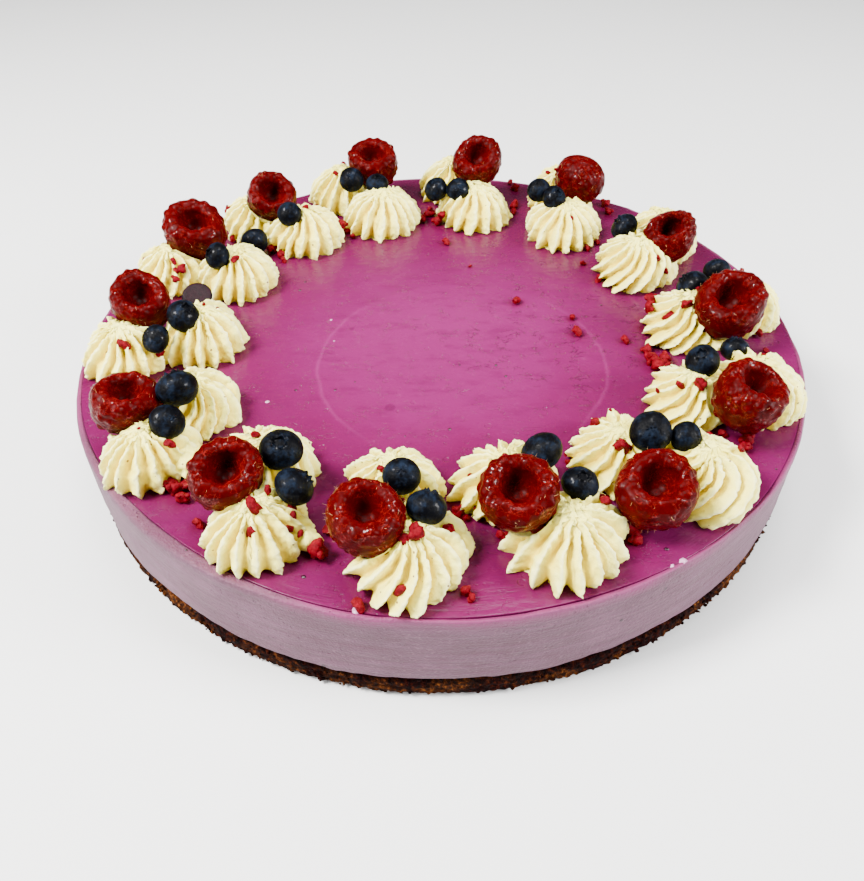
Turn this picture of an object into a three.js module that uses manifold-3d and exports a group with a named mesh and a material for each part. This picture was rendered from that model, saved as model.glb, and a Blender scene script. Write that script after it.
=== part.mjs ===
// Ube cheesecake, 24 cm across: a chocolate crumb base, a pale lilac cheesecake filling, a glossy purple
// jelly top and fourteen decorations round the rim, each a pair of piped cream rosettes with a raspberry
// and blueberries pressed into it, and crumbled freeze-dried raspberry over everything.
// Millimetres, +Z up. The origin is the centre of the underside, and -Y is the near side.

import * as THREE from 'three';
import { mergeVertices } from 'three/addons/utils/BufferGeometryUtils.js';
import Module from 'manifold-3d';

// Cake body
const CAKE_RADIUS = 120;
const BODY_HEIGHT = 33.5;
const BASE_HEIGHT = 8;
const BASE_SETBACK = 0.7;
const LAYER_GAP = 0.3;
const EDGE_GAP = 0.6;
const RIM_WIDTH = 1.6;
const JELLY_THICKNESS = 2;
const JELLY_PROUD = 0.3;
const JELLY_TOP = BODY_HEIGHT + JELLY_PROUD;
const BODY_SEGMENTS = 64;

// The jelly has shrunk from the rim on one side: the middle of the stretch, its spread and how far.
const SHRUNK_AT = 228;
const SHRUNK_SPREAD = 22;
const SHRUNK_BY = 2.2;

// Toppings
const BERRY_CLEARANCE = 0.35;
const ROSETTE_RIDGES = 11;
const ROSETTE_TWIST = 0.55;
const RIDGE_DEPTH = 0.17;
const RASPBERRY_HEIGHT_RATIO = 0.78;
const RASPBERRY_SIDES = 10;
const BLUEBERRY_SIDES = 8;
const BLUEBERRY_HEIGHT_RATIO = 0.84;
const DENT_SIDES = 6;
const CREAM_TOLERANCE = 0.15;

// The fourteen decorations. Angles are in degrees round the cake; a place is [out from the axis, to the
// side, ...] in millimetres, the side counted counter-clockwise, and a lift is a berry's centre above
// the jelly. Rosettes: [out, side, radius, height]. Raspberries: [out, side, lift, width, lean, towards],
// with the lean of the open end in degrees and the compass angle that it leans to. Blueberries:
// [out, side, lift, width, lean, towards].
const DECORATIONS = [
  {
    at: -122, outer: [104.5, 8.5, 13.6, 14], inner: [84, -6, 14, 13],
    raspberry: [100.5, -3, 13.5, 19.2, 24, -70],
    blueberries: [[86, 3, 14.5, 11.8, 20, -80], [94, 13.5, 13, 11, 60, 20]],
  },
  {
    at: -98, outer: [102.5, 5, 15.4, 14], inner: [79.5, -3, 13, 14],
    raspberry: [101, -5.5, 13, 19.6, 10, -60],
    blueberries: [[86, 1, 14.5, 10, 25, -90], [95.5, 8.5, 14, 10.6, 35, 60]],
  },
  {
    at: -75, outer: [102.5, 4.5, 15.4, 15], inner: [79.5, -4.5, 14, 14],
    raspberry: [95, -7, 14.5, 20.6, 18, -95],
    blueberries: [[81.5, 4.5, 14.5, 12, 50, 150], [94, 10, 14, 9.6, 15, -60]],
  },
  {
    at: -51, outer: [103, 6, 15.2, 15], inner: [83.5, -5, 14.4, 14],
    raspberry: [102.5, -14, 9.5, 22, 12, -100],
    blueberries: [[90.5, -2.5, 16, 11.6, 40, -110], [97, 4.5, 14.5, 9.4, 60, -40]],
  },
  {
    at: -26, outer: [103, 4, 15, 15.5], inner: [86.5, -6, 14, 13.5],
    raspberry: [101.5, -11.2, 11.2, 22.8, 20, -20],
    blueberries: [[87, -0.8, 14, 10.8, 30, -140], [94.5, 13.5, 11, 8.8, 30, 80]],
  },
  {
    at: 2, outer: [104, 3, 14, 14], inner: [83, -7.5, 14.4, 15],
    raspberry: [94, -12.5, 12, 23.4, 20, -110],
    blueberries: [[85.5, 0.6, 13.4, 11, 50, 160], [98, 12.5, 11.5, 9.4, 30, 90]],
  },
  {
    at: 30, outer: [103, 3, 14.6, 15], inner: [81, -7, 15, 15],
    raspberry: [94, -8.5, 12.5, 20.4, 28, -115],
    blueberries: [[85.5, 6, 12, 10.4, 45, 170]],
  },
  {
    at: 58, outer: [104, 2.5, 13.6, 17], inner: [82.5, -8.5, 15.2, 14],
    raspberry: [98, -7, 15, 20.2, 74, 60],
    blueberries: [[87, 5, 13.5, 9.8, 30, -120], [81.5, -4, 14.5, 9.8, 40, -60]],
  },
  {
    at: 83, outer: [103, 4, 14.4, 16], inner: [82, -5.5, 15, 15],
    raspberry: [98, -6, 15.5, 21, 34, -100],
    blueberries: [[80.5, 9.5, 12.5, 10.2, 30, -150], [79, 0.5, 13.5, 9.6, 60, -90]],
  },
  {
    at: 108, outer: [103.5, 7, 14.4, 16], inner: [79.5, -3, 15, 15],
    raspberry: [101, -5.8, 14.6, 21, 22, -95],
    blueberries: [[90, 6.5, 16, 10, 40, -100], [86.2, -3, 14.2, 9.4, 20, -60]],
  },
  {
    at: 132, outer: [102.5, 4.5, 14.6, 15], inner: [81.5, -2.5, 14.8, 15],
    raspberry: [96.5, 1, 14, 20.4, 44, -65],
    blueberries: [[80.5, 3.5, 14.5, 9.4, 35, -90], [86, 17.5, 6, 10.8, 80, 140]],
  },
  {
    at: 157, outer: [104, 6.5, 13.8, 14.5], inner: [80.5, 0.5, 14.6, 15],
    raspberry: [99.8, -4.8, 13.5, 24.4, 22, -60],
    blueberries: [[83, 6, 14.5, 10, 50, -140]],
  },
  {
    at: 186, outer: [103.5, 4.5, 14.4, 14.5], inner: [79.5, -1, 14, 15.5],
    raspberry: [98.5, -7.5, 13.5, 20.6, 28, -60],
    blueberries: [[83, 2.5, 14.5, 11.4, 30, -20], [91.5, 11, 12.5, 9.6, 40, -150]],
    halfBlueberry: [81, -13.5, 11.5, 10.4, 14, -80],
  },
  {
    at: 213, outer: [104.5, 8.5, 14, 14], inner: [86, -4.5, 13.6, 14],
    raspberry: [105, -3.5, 12.5, 20, 12, 0],
    blueberries: [[90.5, 1.5, 16.5, 12.4, 40, 120], [97.5, 10.5, 14, 10.4, 50, -30]],
  },
];

// Larger freeze-dried raspberry pieces on the jelly: [angle, out from the axis, size].
const JELLY_PIECES = [
  [27, 31, 4], [4, 47, 2.6], [-7, 47, 4], [-10, 63, 2.8], [86, 56, 3.4], [78, 65, 2.2], [73, 40, 2.2],
  [-14, 76, 4.6], [-18, 70, 6], [93, 81, 4.4], [96, 90, 3.6], [147, 69, 3], [141, 77, 3.2],
  [171, 92, 3.4], [-134, 108, 5.4], [-127, 110, 3.6], [-109, 103, 4.4], [-110, 110, 3.4],
  [-87, 113, 4.6], [-86, 96, 4.4], [-88, 88, 3.4], [-64, 111, 4], [-62, 102, 3.2], [-36, 109, 4.4],
  [-39, 92, 3.6], [70, 98, 4.4], [72, 110, 3.4], [119, 94, 4.4], [44, 90, 3.6], [16, 92, 3.2],
];

// Pieces scattered on the cream of every decoration.
const CREAM_PIECES_PER_PAIR = 2;
const CREAM_PIECE_SIZE = [2.4, 3.6];

const wasm = await Module();
wasm.setup();

const radians = THREE.MathUtils.degToRad;

// One seeded random stream, so that every build is the same (a 32-bit linear congruential generator).
let seed = 20240611;
function random(low = 0, high = 1) {
  seed = (Math.imul(seed, 1664525) + 1013904223) >>> 0;
  return low + (high - low) * (seed / 4294967296);
}

// A point on a ring: angle round the axis, distance out and height.
const onRing = (angle, out, z) => new THREE.Vector3(out * Math.cos(angle), out * Math.sin(angle), z);

// A closed solid through a stack of rings with equal counts of points, from a lower pole to an upper one.
function stackedRings(lowPole, rings, highPole) {
  const count = rings[0].length;
  const top = rings.length * count + 1;
  const at = (ring, i) => 1 + ring * count + (i % count);
  const index = [];
  for (let i = 0; i < count; i++) {
    index.push(0, at(0, i + 1), at(0, i));
    for (let ring = 0; ring < rings.length - 1; ring++) {
      const [a, b, c, d] = [at(ring, i), at(ring, i + 1), at(ring + 1, i), at(ring + 1, i + 1)];
      index.push(a, b, d, a, d, c);
    }
    index.push(at(rings.length - 1, i), at(rings.length - 1, i + 1), top);
  }
  const points = [lowPole, ...rings.flat(), highPole];
  const geometry = new THREE.BufferGeometry();
  geometry.setAttribute('position', new THREE.Float32BufferAttribute(points.flatMap((p) => p.toArray()), 3));
  geometry.setIndex(index);
  return geometry;
}

const axisPoint = (z) => new THREE.Vector3(0, 0, z);

// Rings that share their angles, from a list of [out, z], each a number or a function of the angle.
function roundStack(profile, lowZ, highZ, segments) {
  const value = (v, angle) => (typeof v === 'function' ? v(angle) : v);
  const rings = profile.map(([out, z]) => Array.from({ length: segments }, (_, i) => {
    const angle = (2 * Math.PI * i) / segments;
    return onRing(angle, value(out, angle), value(z, angle));
  }));
  return stackedRings(axisPoint(lowZ), rings, axisPoint(highZ));
}

// Booleans on closed geometries.
function toSolid(geometry) {
  const bare = geometry.clone();
  bare.deleteAttribute('normal');
  bare.deleteAttribute('uv');
  const merged = mergeVertices(bare, 1e-4);
  return new wasm.Manifold(new wasm.Mesh({
    numProp: 3,
    vertProperties: new Float32Array(merged.attributes.position.array),
    triVerts: new Uint32Array(merged.index.array),
  }));
}

function toGeometry(solid) {
  const mesh = solid.getMesh();
  const geometry = new THREE.BufferGeometry();
  geometry.setAttribute('position', new THREE.BufferAttribute(new Float32Array(mesh.vertProperties), 3));
  geometry.setIndex(new THREE.BufferAttribute(new Uint32Array(mesh.triVerts), 1));
  return geometry;
}

// The largest body of a solid: a scrap that a cut leaves loose is dropped.
function mainBody(solid) {
  return solid.decompose().reduce((a, b) => (b.volume() > a.volume() ? b : a));
}

// ---- Cake body ----

// The crumb base was pressed by hand, so its upper edge runs up and down a little.
const baseEdge = (angle) => BASE_HEIGHT + 0.5 * Math.sin(5 * angle + 1) + 0.35 * Math.sin(11 * angle)
  + 0.25 * Math.sin(17 * angle + 2);
const crumbs = (angle) => 0.3 * Math.sin(13 * angle) + 0.3 * Math.sin(23 * angle + 1);
const LEVEL_RADIUS = 0.9 * CAKE_RADIUS;

function crumbBase() {
  const side = (angle) => CAKE_RADIUS - BASE_SETBACK - 0.6 + crumbs(angle);
  return roundStack([
    [(angle) => side(angle) - 1, 0],
    [side, 2],
    [(angle) => side(angle) - 0.3, baseEdge],
    [LEVEL_RADIUS, BASE_HEIGHT],
  ], 0, BASE_HEIGHT, BODY_SEGMENTS);
}

// The filling stands straight from the cake ring, with a soft top edge that the jelly lies inside.
const jellyEdge = (angle) => {
  const shrunk = Math.exp(-(((angle - radians(SHRUNK_AT)) / radians(SHRUNK_SPREAD)) ** 2));
  return CAKE_RADIUS - RIM_WIDTH - SHRUNK_BY * shrunk + 0.2 * Math.sin(7 * angle + 1);
};

function cheesecakeLayer() {
  const floor = JELLY_TOP - JELLY_THICKNESS - LAYER_GAP;
  return roundStack([
    [LEVEL_RADIUS, BASE_HEIGHT + LAYER_GAP],
    [CAKE_RADIUS - BASE_SETBACK, (angle) => baseEdge(angle) + EDGE_GAP],
    [CAKE_RADIUS, BODY_HEIGHT / 2],
    [CAKE_RADIUS, BODY_HEIGHT - 0.7],
    [jellyEdge, BODY_HEIGHT],
    [(angle) => jellyEdge(angle) - 0.2, floor],
  ], BASE_HEIGHT + LAYER_GAP, floor, BODY_SEGMENTS);
}

function jellyDisc() {
  const edge = (angle) => jellyEdge(angle) - LAYER_GAP - 0.2;
  return roundStack([
    [edge, JELLY_TOP - JELLY_THICKNESS],
    [edge, JELLY_TOP - 0.6],
    [(angle) => edge(angle) - 1.2, JELLY_TOP],
  ], JELLY_TOP - JELLY_THICKNESS, JELLY_TOP, BODY_SEGMENTS);
}

// ---- Toppings, each standing on z = 0 of its own place ----

// Half of the profile of a rosette: share of the height, share of the radius.
const ROSETTE_PROFILE = [[0, 0.97], [0.3, 1], [0.72, 0.7]];

// A rosette from an open star nozzle: deep ridges that turn as they rise, each a little different.
function rosette(radius, height, start) {
  const wobble = Array.from({ length: ROSETTE_RIDGES }, () => random(-0.06, 0.03));
  const rings = ROSETTE_PROFILE.map(([up, out]) => Array.from({ length: 2 * ROSETTE_RIDGES }, (_, i) => {
    const angle = start + (Math.PI * i) / ROSETTE_RIDGES + ROSETTE_TWIST * up;
    const crest = i % 2 === 0;
    const share = crest ? 1 + wobble[i / 2] : 1 - RIDGE_DEPTH;
    return onRing(angle, radius * out * share, height * up * (crest ? 1 : 1.04));
  }));
  return stackedRings(axisPoint(0), rings, axisPoint(height));
}

// A plain turned body from rows of [share of the radius, z]. Every other row may be turned by half a side.
function turnedBody(radius, rows, low, high, sides, stagger = 0) {
  const rings = rows.map(([out, z], row) => Array.from({ length: sides }, (_, i) => (
    onRing((2 * Math.PI * (i + stagger * (row % 2))) / sides, radius * out, z))));
  return stackedRings(axisPoint(low), rings, axisPoint(high));
}

// A raspberry stands on its closed tip with its hollow open at the top. Its drupelets lie in rows,
// each row turned by half a drupelet.
function raspberry(width) {
  const h = width * RASPBERRY_HEIGHT_RATIO;
  const low = -h / 2;
  const high = h / 2;
  const outside = [[0.5, low + 0.1 * h], [0.88, low + 0.34 * h], [1, low + 0.64 * h], [0.82, high]];
  const hollow = [[0.5, high - 0.04 * h], [0.3, high - 0.5 * h]];
  return turnedBody(width / 2, [...outside, ...hollow], low, high - 0.55 * h, RASPBERRY_SIDES, 0.5);
}

// A blueberry is a flattened ball with the crown of its calyx at the top.
function blueberry(width) {
  const h = (width * BLUEBERRY_HEIGHT_RATIO) / 2;
  const rows = [[0.7, -0.74 * h], [1, 0.1 * h], [0.5, 0.96 * h]];
  return turnedBody(width / 2, rows, -h, 0.82 * h, BLUEBERRY_SIDES);
}

// A blueberry cut in half, its cut face up.
function halfBlueberry(width) {
  const r = width / 2;
  const rows = [[0.62, -0.7 * r], [0.95, -0.3 * r], [1, 0.05 * r]];
  return turnedBody(r, rows, -0.84 * r, 0.1 * r, BLUEBERRY_SIDES);
}

// The dent that a berry presses into cream: a plain shape that clears the berry all round.
function dent(width, heightRatio) {
  const r = width / 2 / Math.cos(Math.PI / DENT_SIDES) + BERRY_CLEARANCE;
  const h = (width * heightRatio) / 2 + BERRY_CLEARANCE;
  return turnedBody(r, [[0.72, -0.84 * h], [1.03, 0.05 * h], [0.88, h]], -h, h, DENT_SIDES);
}

// A crumb of freeze-dried raspberry: a lump with no two sides alike.
function driedPiece(size) {
  const lump = mergeVertices(new THREE.IcosahedronGeometry(size / 2, 0).deleteAttribute('normal')
    .deleteAttribute('uv'), 1e-4);
  const place = lump.attributes.position;
  for (let i = 0; i < place.count; i++) {
    const share = random(0.8, 1.15);
    place.setXYZ(i, place.getX(i) * share * 1.15, place.getY(i) * share * 0.95, place.getZ(i) * share * 0.9);
  }
  return lump.rotateZ(random(0, 2 * Math.PI)).rotateX(random(-0.6, 0.6));
}

// ---- Materials ----

const finish = (color, roughness) => new THREE.MeshStandardMaterial({ color, roughness, metalness: 0 });
const MATERIALS = {
  crumb: finish(0x2a1610, 0.9),
  filling: finish(0xc4b2c6, 0.6),
  jelly: finish(0xa9559a, 0.18),
  cream: finish(0xf3ecd0, 0.5),
  raspberry: finish(0xa30d1c, 0.25),
  blueberry: finish(0x1c2338, 0.5),
  cutBlueberry: finish(0x5a2f45, 0.4),
};

const cake = new THREE.Group();

function addPiece(name, geometry, material) {
  const piece = new THREE.Mesh(geometry, MATERIALS[material]);
  piece.name = name;
  cake.add(piece);
  return piece;
}

// ---- Decorations ----

// The matrix that carries a berry to its place and leans its open end over.
function berryPlace(at, [out, side, lift, , lean, towards]) {
  const centre = onRing(radians(at), out, JELLY_TOP + lift).add(onRing(radians(at + 90), side, 0));
  const axis = onRing(radians(towards + 90), 1, 0);
  const turn = new THREE.Quaternion().setFromAxisAngle(axis, radians(lean));
  return new THREE.Matrix4().compose(centre, turn, new THREE.Vector3(1, 1, 1));
}

function rosettePlace(at, [out, side]) {
  const centre = onRing(radians(at), out, JELLY_TOP + LAYER_GAP).add(onRing(radians(at + 90), side, 0));
  return new THREE.Matrix4().makeTranslation(centre.x, centre.y, centre.z);
}

const berries = [];
const creams = [];

DECORATIONS.forEach((decoration, index) => {
  const number = String(index + 1).padStart(2, '0');
  const { at } = decoration;
  const addBerry = (name, shape, spec, material, heightRatio) => {
    const place = berryPlace(at, spec);
    addPiece(name, shape(spec[3]).applyMatrix4(place), material);
    berries.push({
      cutter: toSolid(dent(spec[3], heightRatio).applyMatrix4(place)),
      centre: new THREE.Vector3().setFromMatrixPosition(place),
      reach: spec[3] / 2 + BERRY_CLEARANCE,
    });
  };
  addBerry(`raspberry_${number}`, raspberry, decoration.raspberry, 'raspberry', RASPBERRY_HEIGHT_RATIO);
  decoration.blueberries.forEach((spec, i) => {
    addBerry(`blueberry_${number}_${i + 1}`, blueberry, spec, 'blueberry', BLUEBERRY_HEIGHT_RATIO);
  });
  if (decoration.halfBlueberry) {
    const spec = decoration.halfBlueberry;
    addBerry(`half_blueberry_${number}`, halfBlueberry, spec, 'cutBlueberry', BLUEBERRY_HEIGHT_RATIO);
  }
  const pair = [decoration.outer, decoration.inner].map((spec) => (
    toSolid(rosette(spec[2], spec[3], random(0, 1)).applyMatrix4(rosettePlace(at, spec)))));
  creams.push({ name: `cream_pair_${number}`, decoration, solid: pair[0].add(pair[1]) });
});

// Each pair of rosettes is dented by the berries pressed into it and sprinkled with dried raspberry.
// Slivers that the cuts leave, thinner than the tolerance, are merged into the facets beside them.
function sprinkleSpots(surface, decoration) {
  const ray = new THREE.Raycaster();
  const down = new THREE.Vector3(0, 0, -1);
  const spots = [];
  for (let tries = 0; spots.length < CREAM_PIECES_PER_PAIR && tries < 40; tries++) {
    const [out, side, radius] = random() < 0.6 ? decoration.outer : decoration.inner;
    const size = random(...CREAM_PIECE_SIZE);
    const spread = 0.8 * radius * Math.sqrt(random());
    const round = random(0, 2 * Math.PI);
    const place = onRing(radians(decoration.at), out, 0).add(onRing(radians(decoration.at + 90), side, 0))
      .add(onRing(round, spread, 0));
    ray.set(new THREE.Vector3(place.x, place.y, BODY_HEIGHT + 60), down);
    const [hit] = ray.intersectObject(surface);
    if (!hit || hit.point.z < JELLY_TOP + 5) continue;
    const centre = hit.point.clone().add(new THREE.Vector3(0, 0, 0.15 * size));
    const clear = berries.every((berry) => berry.centre.distanceTo(centre) > berry.reach + 0.8 * size)
      && spots.every((spot) => spot.centre.distanceTo(centre) > size + 1);
    if (clear) spots.push({ centre, size });
  }
  return spots;
}

for (const { name, decoration, solid } of creams) {
  let cream = solid;
  for (const { cutter } of berries) cream = cream.subtract(cutter);
  cream = mainBody(cream.simplify(CREAM_TOLERANCE));
  const surface = new THREE.Mesh(toGeometry(cream));
  surface.material.side = THREE.DoubleSide;
  for (const { centre, size } of sprinkleSpots(surface, decoration)) {
    cream = cream.add(toSolid(driedPiece(size).translate(...centre.toArray())));
  }
  addPiece(name, toGeometry(mainBody(cream.simplify(CREAM_TOLERANCE))), 'cream');
}

// ---- Jelly with its pieces of dried raspberry, which stay clear of cream and berries ----

const toppings = cake.children.map((piece) => toSolid(piece.geometry));
let jelly = toSolid(jellyDisc());
for (const [angle, out, size] of JELLY_PIECES) {
  const centre = onRing(radians(angle), out, JELLY_TOP + 0.2 * size);
  const lump = driedPiece(size);
  const grown = toSolid(lump.clone().scale(1.3, 1.3, 1.3).translate(...centre.toArray()));
  const clear = toppings.every((topping) => topping.intersect(grown).isEmpty());
  if (clear) jelly = jelly.add(toSolid(lump.translate(...centre.toArray())));
}

addPiece('jelly_top', toGeometry(mainBody(jelly)), 'jelly');
addPiece('cheesecake_layer', cheesecakeLayer(), 'filling');
addPiece('crumb_base', crumbBase(), 'crumb');

export default cake;
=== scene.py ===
"""The looks of the ube cheesecake, section by section as the cake is put together: crumb base, filling,
jelly, cream, berries and the freeze-dried raspberry on top. Sizes are in metres; MM turns millimetres
into them."""

import math
import random

import bpy
import bmesh
import numpy as np
from mathutils import Matrix, Vector


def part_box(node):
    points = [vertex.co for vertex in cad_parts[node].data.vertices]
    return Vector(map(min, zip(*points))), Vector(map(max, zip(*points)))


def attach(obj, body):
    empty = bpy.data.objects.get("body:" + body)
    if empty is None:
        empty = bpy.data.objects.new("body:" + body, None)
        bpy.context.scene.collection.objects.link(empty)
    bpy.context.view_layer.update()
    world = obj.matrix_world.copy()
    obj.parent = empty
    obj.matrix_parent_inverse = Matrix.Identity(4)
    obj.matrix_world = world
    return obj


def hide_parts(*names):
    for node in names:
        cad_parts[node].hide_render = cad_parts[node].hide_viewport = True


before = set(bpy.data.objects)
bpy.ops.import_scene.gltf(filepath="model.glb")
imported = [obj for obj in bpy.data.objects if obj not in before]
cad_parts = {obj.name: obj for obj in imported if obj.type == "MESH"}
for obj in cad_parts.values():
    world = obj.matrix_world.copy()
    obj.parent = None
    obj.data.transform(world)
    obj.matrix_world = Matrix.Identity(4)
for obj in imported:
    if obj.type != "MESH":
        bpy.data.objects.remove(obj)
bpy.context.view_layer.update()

# ---- Camera ----
# It stands in front of the cake and looks down on it at 43 degrees, a little to the left of the middle
# and turned by one degree, with a lens of 33 mm on a 36 mm sensor.

CAMERA_PLACE = Vector((-0.0031, -0.22853, 0.19317))
CAMERA_TILT = math.radians(42.8)
CAMERA_ROLL = math.radians(-0.99)

camera_data = bpy.data.cameras.new("camera")
camera_data.lens = 32.69
camera = bpy.data.objects.new("camera", camera_data)
bpy.context.scene.collection.objects.link(camera)
camera.matrix_world = (Matrix.Translation(CAMERA_PLACE)
                       @ Matrix.Rotation(math.pi / 2 - CAMERA_TILT, 4, "X")
                       @ Matrix.Rotation(CAMERA_ROLL, 4, "Z"))
bpy.context.scene.camera = camera

# ---- Crumb base ----
# Dark chocolate biscuit crumbs bound with butter and pressed flat into the cake ring. The cut side is
# porous and crumbly, and its upper edge wanders because the crumbs were pressed in by hand.

MM = 0.001
CAKE_RADIUS = 120 * MM
BASE_HEIGHT = 8 * MM
BASE_RADIUS = CAKE_RADIUS - 1.3 * MM
BASE_SEGMENTS = 128
CRUMB_COUNT = 1300


def base_edge(angle):
    return BASE_HEIGHT + MM * (0.5 * math.sin(5 * angle + 1) + 0.35 * math.sin(11 * angle)
                               + 0.25 * math.sin(17 * angle + 2))


def smooth_over(piece, levels):
    """Subdivision that rounds the piece and gives it the points that its relief needs."""
    rounding = piece.modifiers.new("rounding", "SUBSURF")
    rounding.levels = rounding.render_levels = levels
    bpy.context.view_layer.objects.active = piece
    bpy.ops.object.modifier_apply(modifier="rounding")
    for face in piece.data.polygons:
        face.use_smooth = True


def turn_piece(name, rings, segments, levels=0):
    """A turned piece: a circle extruded from ring to ring (radius, height), rounded, and closed at its ends."""
    bpy.ops.object.select_all(action="DESELECT")
    radius, height = rings[0]
    bpy.ops.mesh.primitive_circle_add(vertices=segments, radius=radius, fill_type="NOTHING")
    piece = bpy.context.object
    piece.name = piece.data.name = name
    bpy.ops.object.mode_set(mode="EDIT")
    bpy.ops.mesh.select_mode(type="VERT")
    bpy.ops.mesh.select_all(action="SELECT")
    bpy.ops.transform.translate(value=(0, 0, height))
    for wide, high in rings[1:]:
        bpy.ops.mesh.extrude_region_move(TRANSFORM_OT_translate={"value": (0, 0, high - height)})
        bpy.ops.transform.resize(value=(wide / radius, wide / radius, 1), center_override=(0, 0, high))
        radius, height = wide, high
    bpy.ops.object.mode_set(mode="OBJECT")
    if levels:
        smooth_over(piece, levels)
    bpy.ops.object.mode_set(mode="EDIT")
    bpy.ops.mesh.select_all(action="SELECT")
    bpy.ops.mesh.fill_holes(sides=0)
    bpy.ops.mesh.select_all(action="SELECT")
    bpy.ops.mesh.normals_make_consistent(inside=False)
    bpy.ops.object.mode_set(mode="OBJECT")
    return piece


def points_of(piece):
    points = np.empty(3 * len(piece.data.vertices), np.float32)
    piece.data.vertices.foreach_get("co", points)
    return points.reshape(-1, 3)


def set_points(piece, points):
    piece.data.vertices.foreach_set("co", np.asarray(points, np.float32).ravel())
    piece.data.update()


def lattice_value(cells, seed):
    """A repeatable value from -1 to 1 for each whole-number cell."""
    key = (cells.astype(np.int64) @ np.array([73856093, 19349663, 83492791]) + seed * 2654435) & 0x7fffffff
    key = ((key ^ (key >> 13)) * 1274126177) & 0x7fffffff
    return ((key ^ (key >> 16)) & 0xffff) / 32767.5 - 1


def lumps(points, size, seed=0):
    """Smooth noise from -1 to 1 at each point, with lumps of about this size."""
    spot = np.asarray(points, float) / size + 0.5
    cell = np.floor(spot)
    part = spot - cell
    part = part * part * (3 - 2 * part)
    total = np.zeros(len(spot))
    for corner in np.ndindex(2, 2, 2):
        share = np.prod(np.where(corner, part, 1 - part), axis=1)
        total += share * lattice_value(cell + corner, seed)
    return total


def grains(points, size, seed=0):
    """Rounded grains of this size: 1 in the middle of a grain and near 0 in the cracks between them."""
    spot = np.asarray(points, float) / size
    cell = np.floor(spot)
    nearest = np.full(len(spot), 9.0)
    for corner in np.ndindex(3, 3, 3):
        here = cell + np.array(corner) - 1
        heart = here + 0.5 + 0.42 * np.stack([lattice_value(here, seed + k) for k in range(3)], axis=1)
        nearest = np.minimum(nearest, np.linalg.norm(spot - heart, axis=1))
    return np.clip(1 - nearest, 0, 1)


def join_pieces(name, pieces):
    bpy.ops.object.select_all(action="DESELECT")
    for piece in pieces:
        piece.select_set(True)
    bpy.context.view_layer.objects.active = pieces[0]
    bpy.ops.object.join()
    pieces[0].name = pieces[0].data.name = name
    return pieces[0]


def copied_shape(name, shape_points, shape_faces, places):
    """One mesh with the shape repeated at every place, each place a function of the points."""
    points = np.concatenate([place(shape_points) for place in places])
    count = len(shape_points)
    faces = [tuple(i + k * count for i in face) for k in range(len(places)) for face in shape_faces]
    mesh = bpy.data.meshes.new(name)
    mesh.from_pydata(points.tolist(), [], faces)
    mesh.polygons.foreach_set("use_smooth", [True] * len(faces))
    piece = bpy.data.objects.new(name, mesh)
    bpy.context.scene.collection.objects.link(piece)
    return piece


def lump_shape(size_mm, roughness, seed, detail=2):
    """Points and faces of a small broken lump, modelled from an icosphere."""
    bpy.ops.object.select_all(action="DESELECT")
    bpy.ops.mesh.primitive_ico_sphere_add(subdivisions=detail, radius=size_mm / 2 * MM)
    lump = bpy.context.object
    points = points_of(lump).astype(float)
    lengths = 1 + roughness * lumps(points, 0.45 * size_mm * MM, seed)
    points *= lengths[:, None] * np.array([1.15, 0.92, 0.85])
    faces = [tuple(face.vertices) for face in lump.data.polygons]
    bpy.data.objects.remove(lump)
    return points, faces


chance = random.Random(41)

crumb_base = turn_piece("chocolate_crumb_base", [
    (0.5 * BASE_RADIUS, 0), (BASE_RADIUS - 1.2 * MM, 0), (BASE_RADIUS, 0.8 * MM), (BASE_RADIUS, 3 * MM),
    (BASE_RADIUS, 5 * MM), (BASE_RADIUS, BASE_HEIGHT), (0.92 * BASE_RADIUS, BASE_HEIGHT),
    (0.5 * BASE_RADIUS, BASE_HEIGHT)], BASE_SEGMENTS, levels=3)
points = points_of(crumb_base)
out = np.hypot(points[:, 0], points[:, 1])
angles = np.arctan2(points[:, 1], points[:, 0])
edges = np.array([base_edge(a) for a in angles])
side = np.clip((out - 0.95 * BASE_RADIUS) / (0.05 * BASE_RADIUS), 0, 1)
points[:, 2] = np.where(out > 0.9 * BASE_RADIUS, points[:, 2] * edges / BASE_HEIGHT, points[:, 2])
relief = 0.9 * MM * grains(points, 2.0 * MM, 1) + 0.5 * MM * grains(points, 0.9 * MM, 2)
relief += 0.5 * MM * lumps(points, 9 * MM, 3)
points[:, :2] *= (1 + side * (relief - 0.2 * MM) / np.maximum(out, 0.02))[:, None]
points[:, 2] = np.maximum(points[:, 2], 0)
set_points(crumb_base, points)

crumb_points, crumb_faces = lump_shape(1.5, 0.55, 5, detail=1)


def stray_crumb():
    angle = chance.uniform(0, 2 * math.pi)
    size = chance.triangular(0.25, 1.15, 0.5)
    height = chance.uniform(0.3 * MM, base_edge(angle) - 0.2 * MM)
    out = BASE_RADIUS + chance.uniform(0.1, 0.55) * MM
    turn = Matrix.Rotation(chance.uniform(0, 6.28), 3, Vector((chance.random(), chance.random(), 1)))
    centre = np.array([out * math.cos(angle), out * math.sin(angle), max(height, 1.1 * size * MM)])
    return lambda shape: shape @ np.array(turn.transposed()) * size + centre


crumbs = copied_shape("stray_crumbs", crumb_points, crumb_faces, [stray_crumb() for _ in range(CRUMB_COUNT)])
crumb_base = join_pieces("chocolate_crumb_base", [crumb_base, crumbs])


def new_finish(name):
    finish = bpy.data.materials.new(name)
    finish.use_nodes = True
    return finish, finish.node_tree, finish.node_tree.nodes["Principled BSDF"]


def wire(tree, socket, value):
    if isinstance(value, bpy.types.NodeSocket):
        tree.links.new(value, socket)
    else:
        socket.default_value = value


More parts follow.
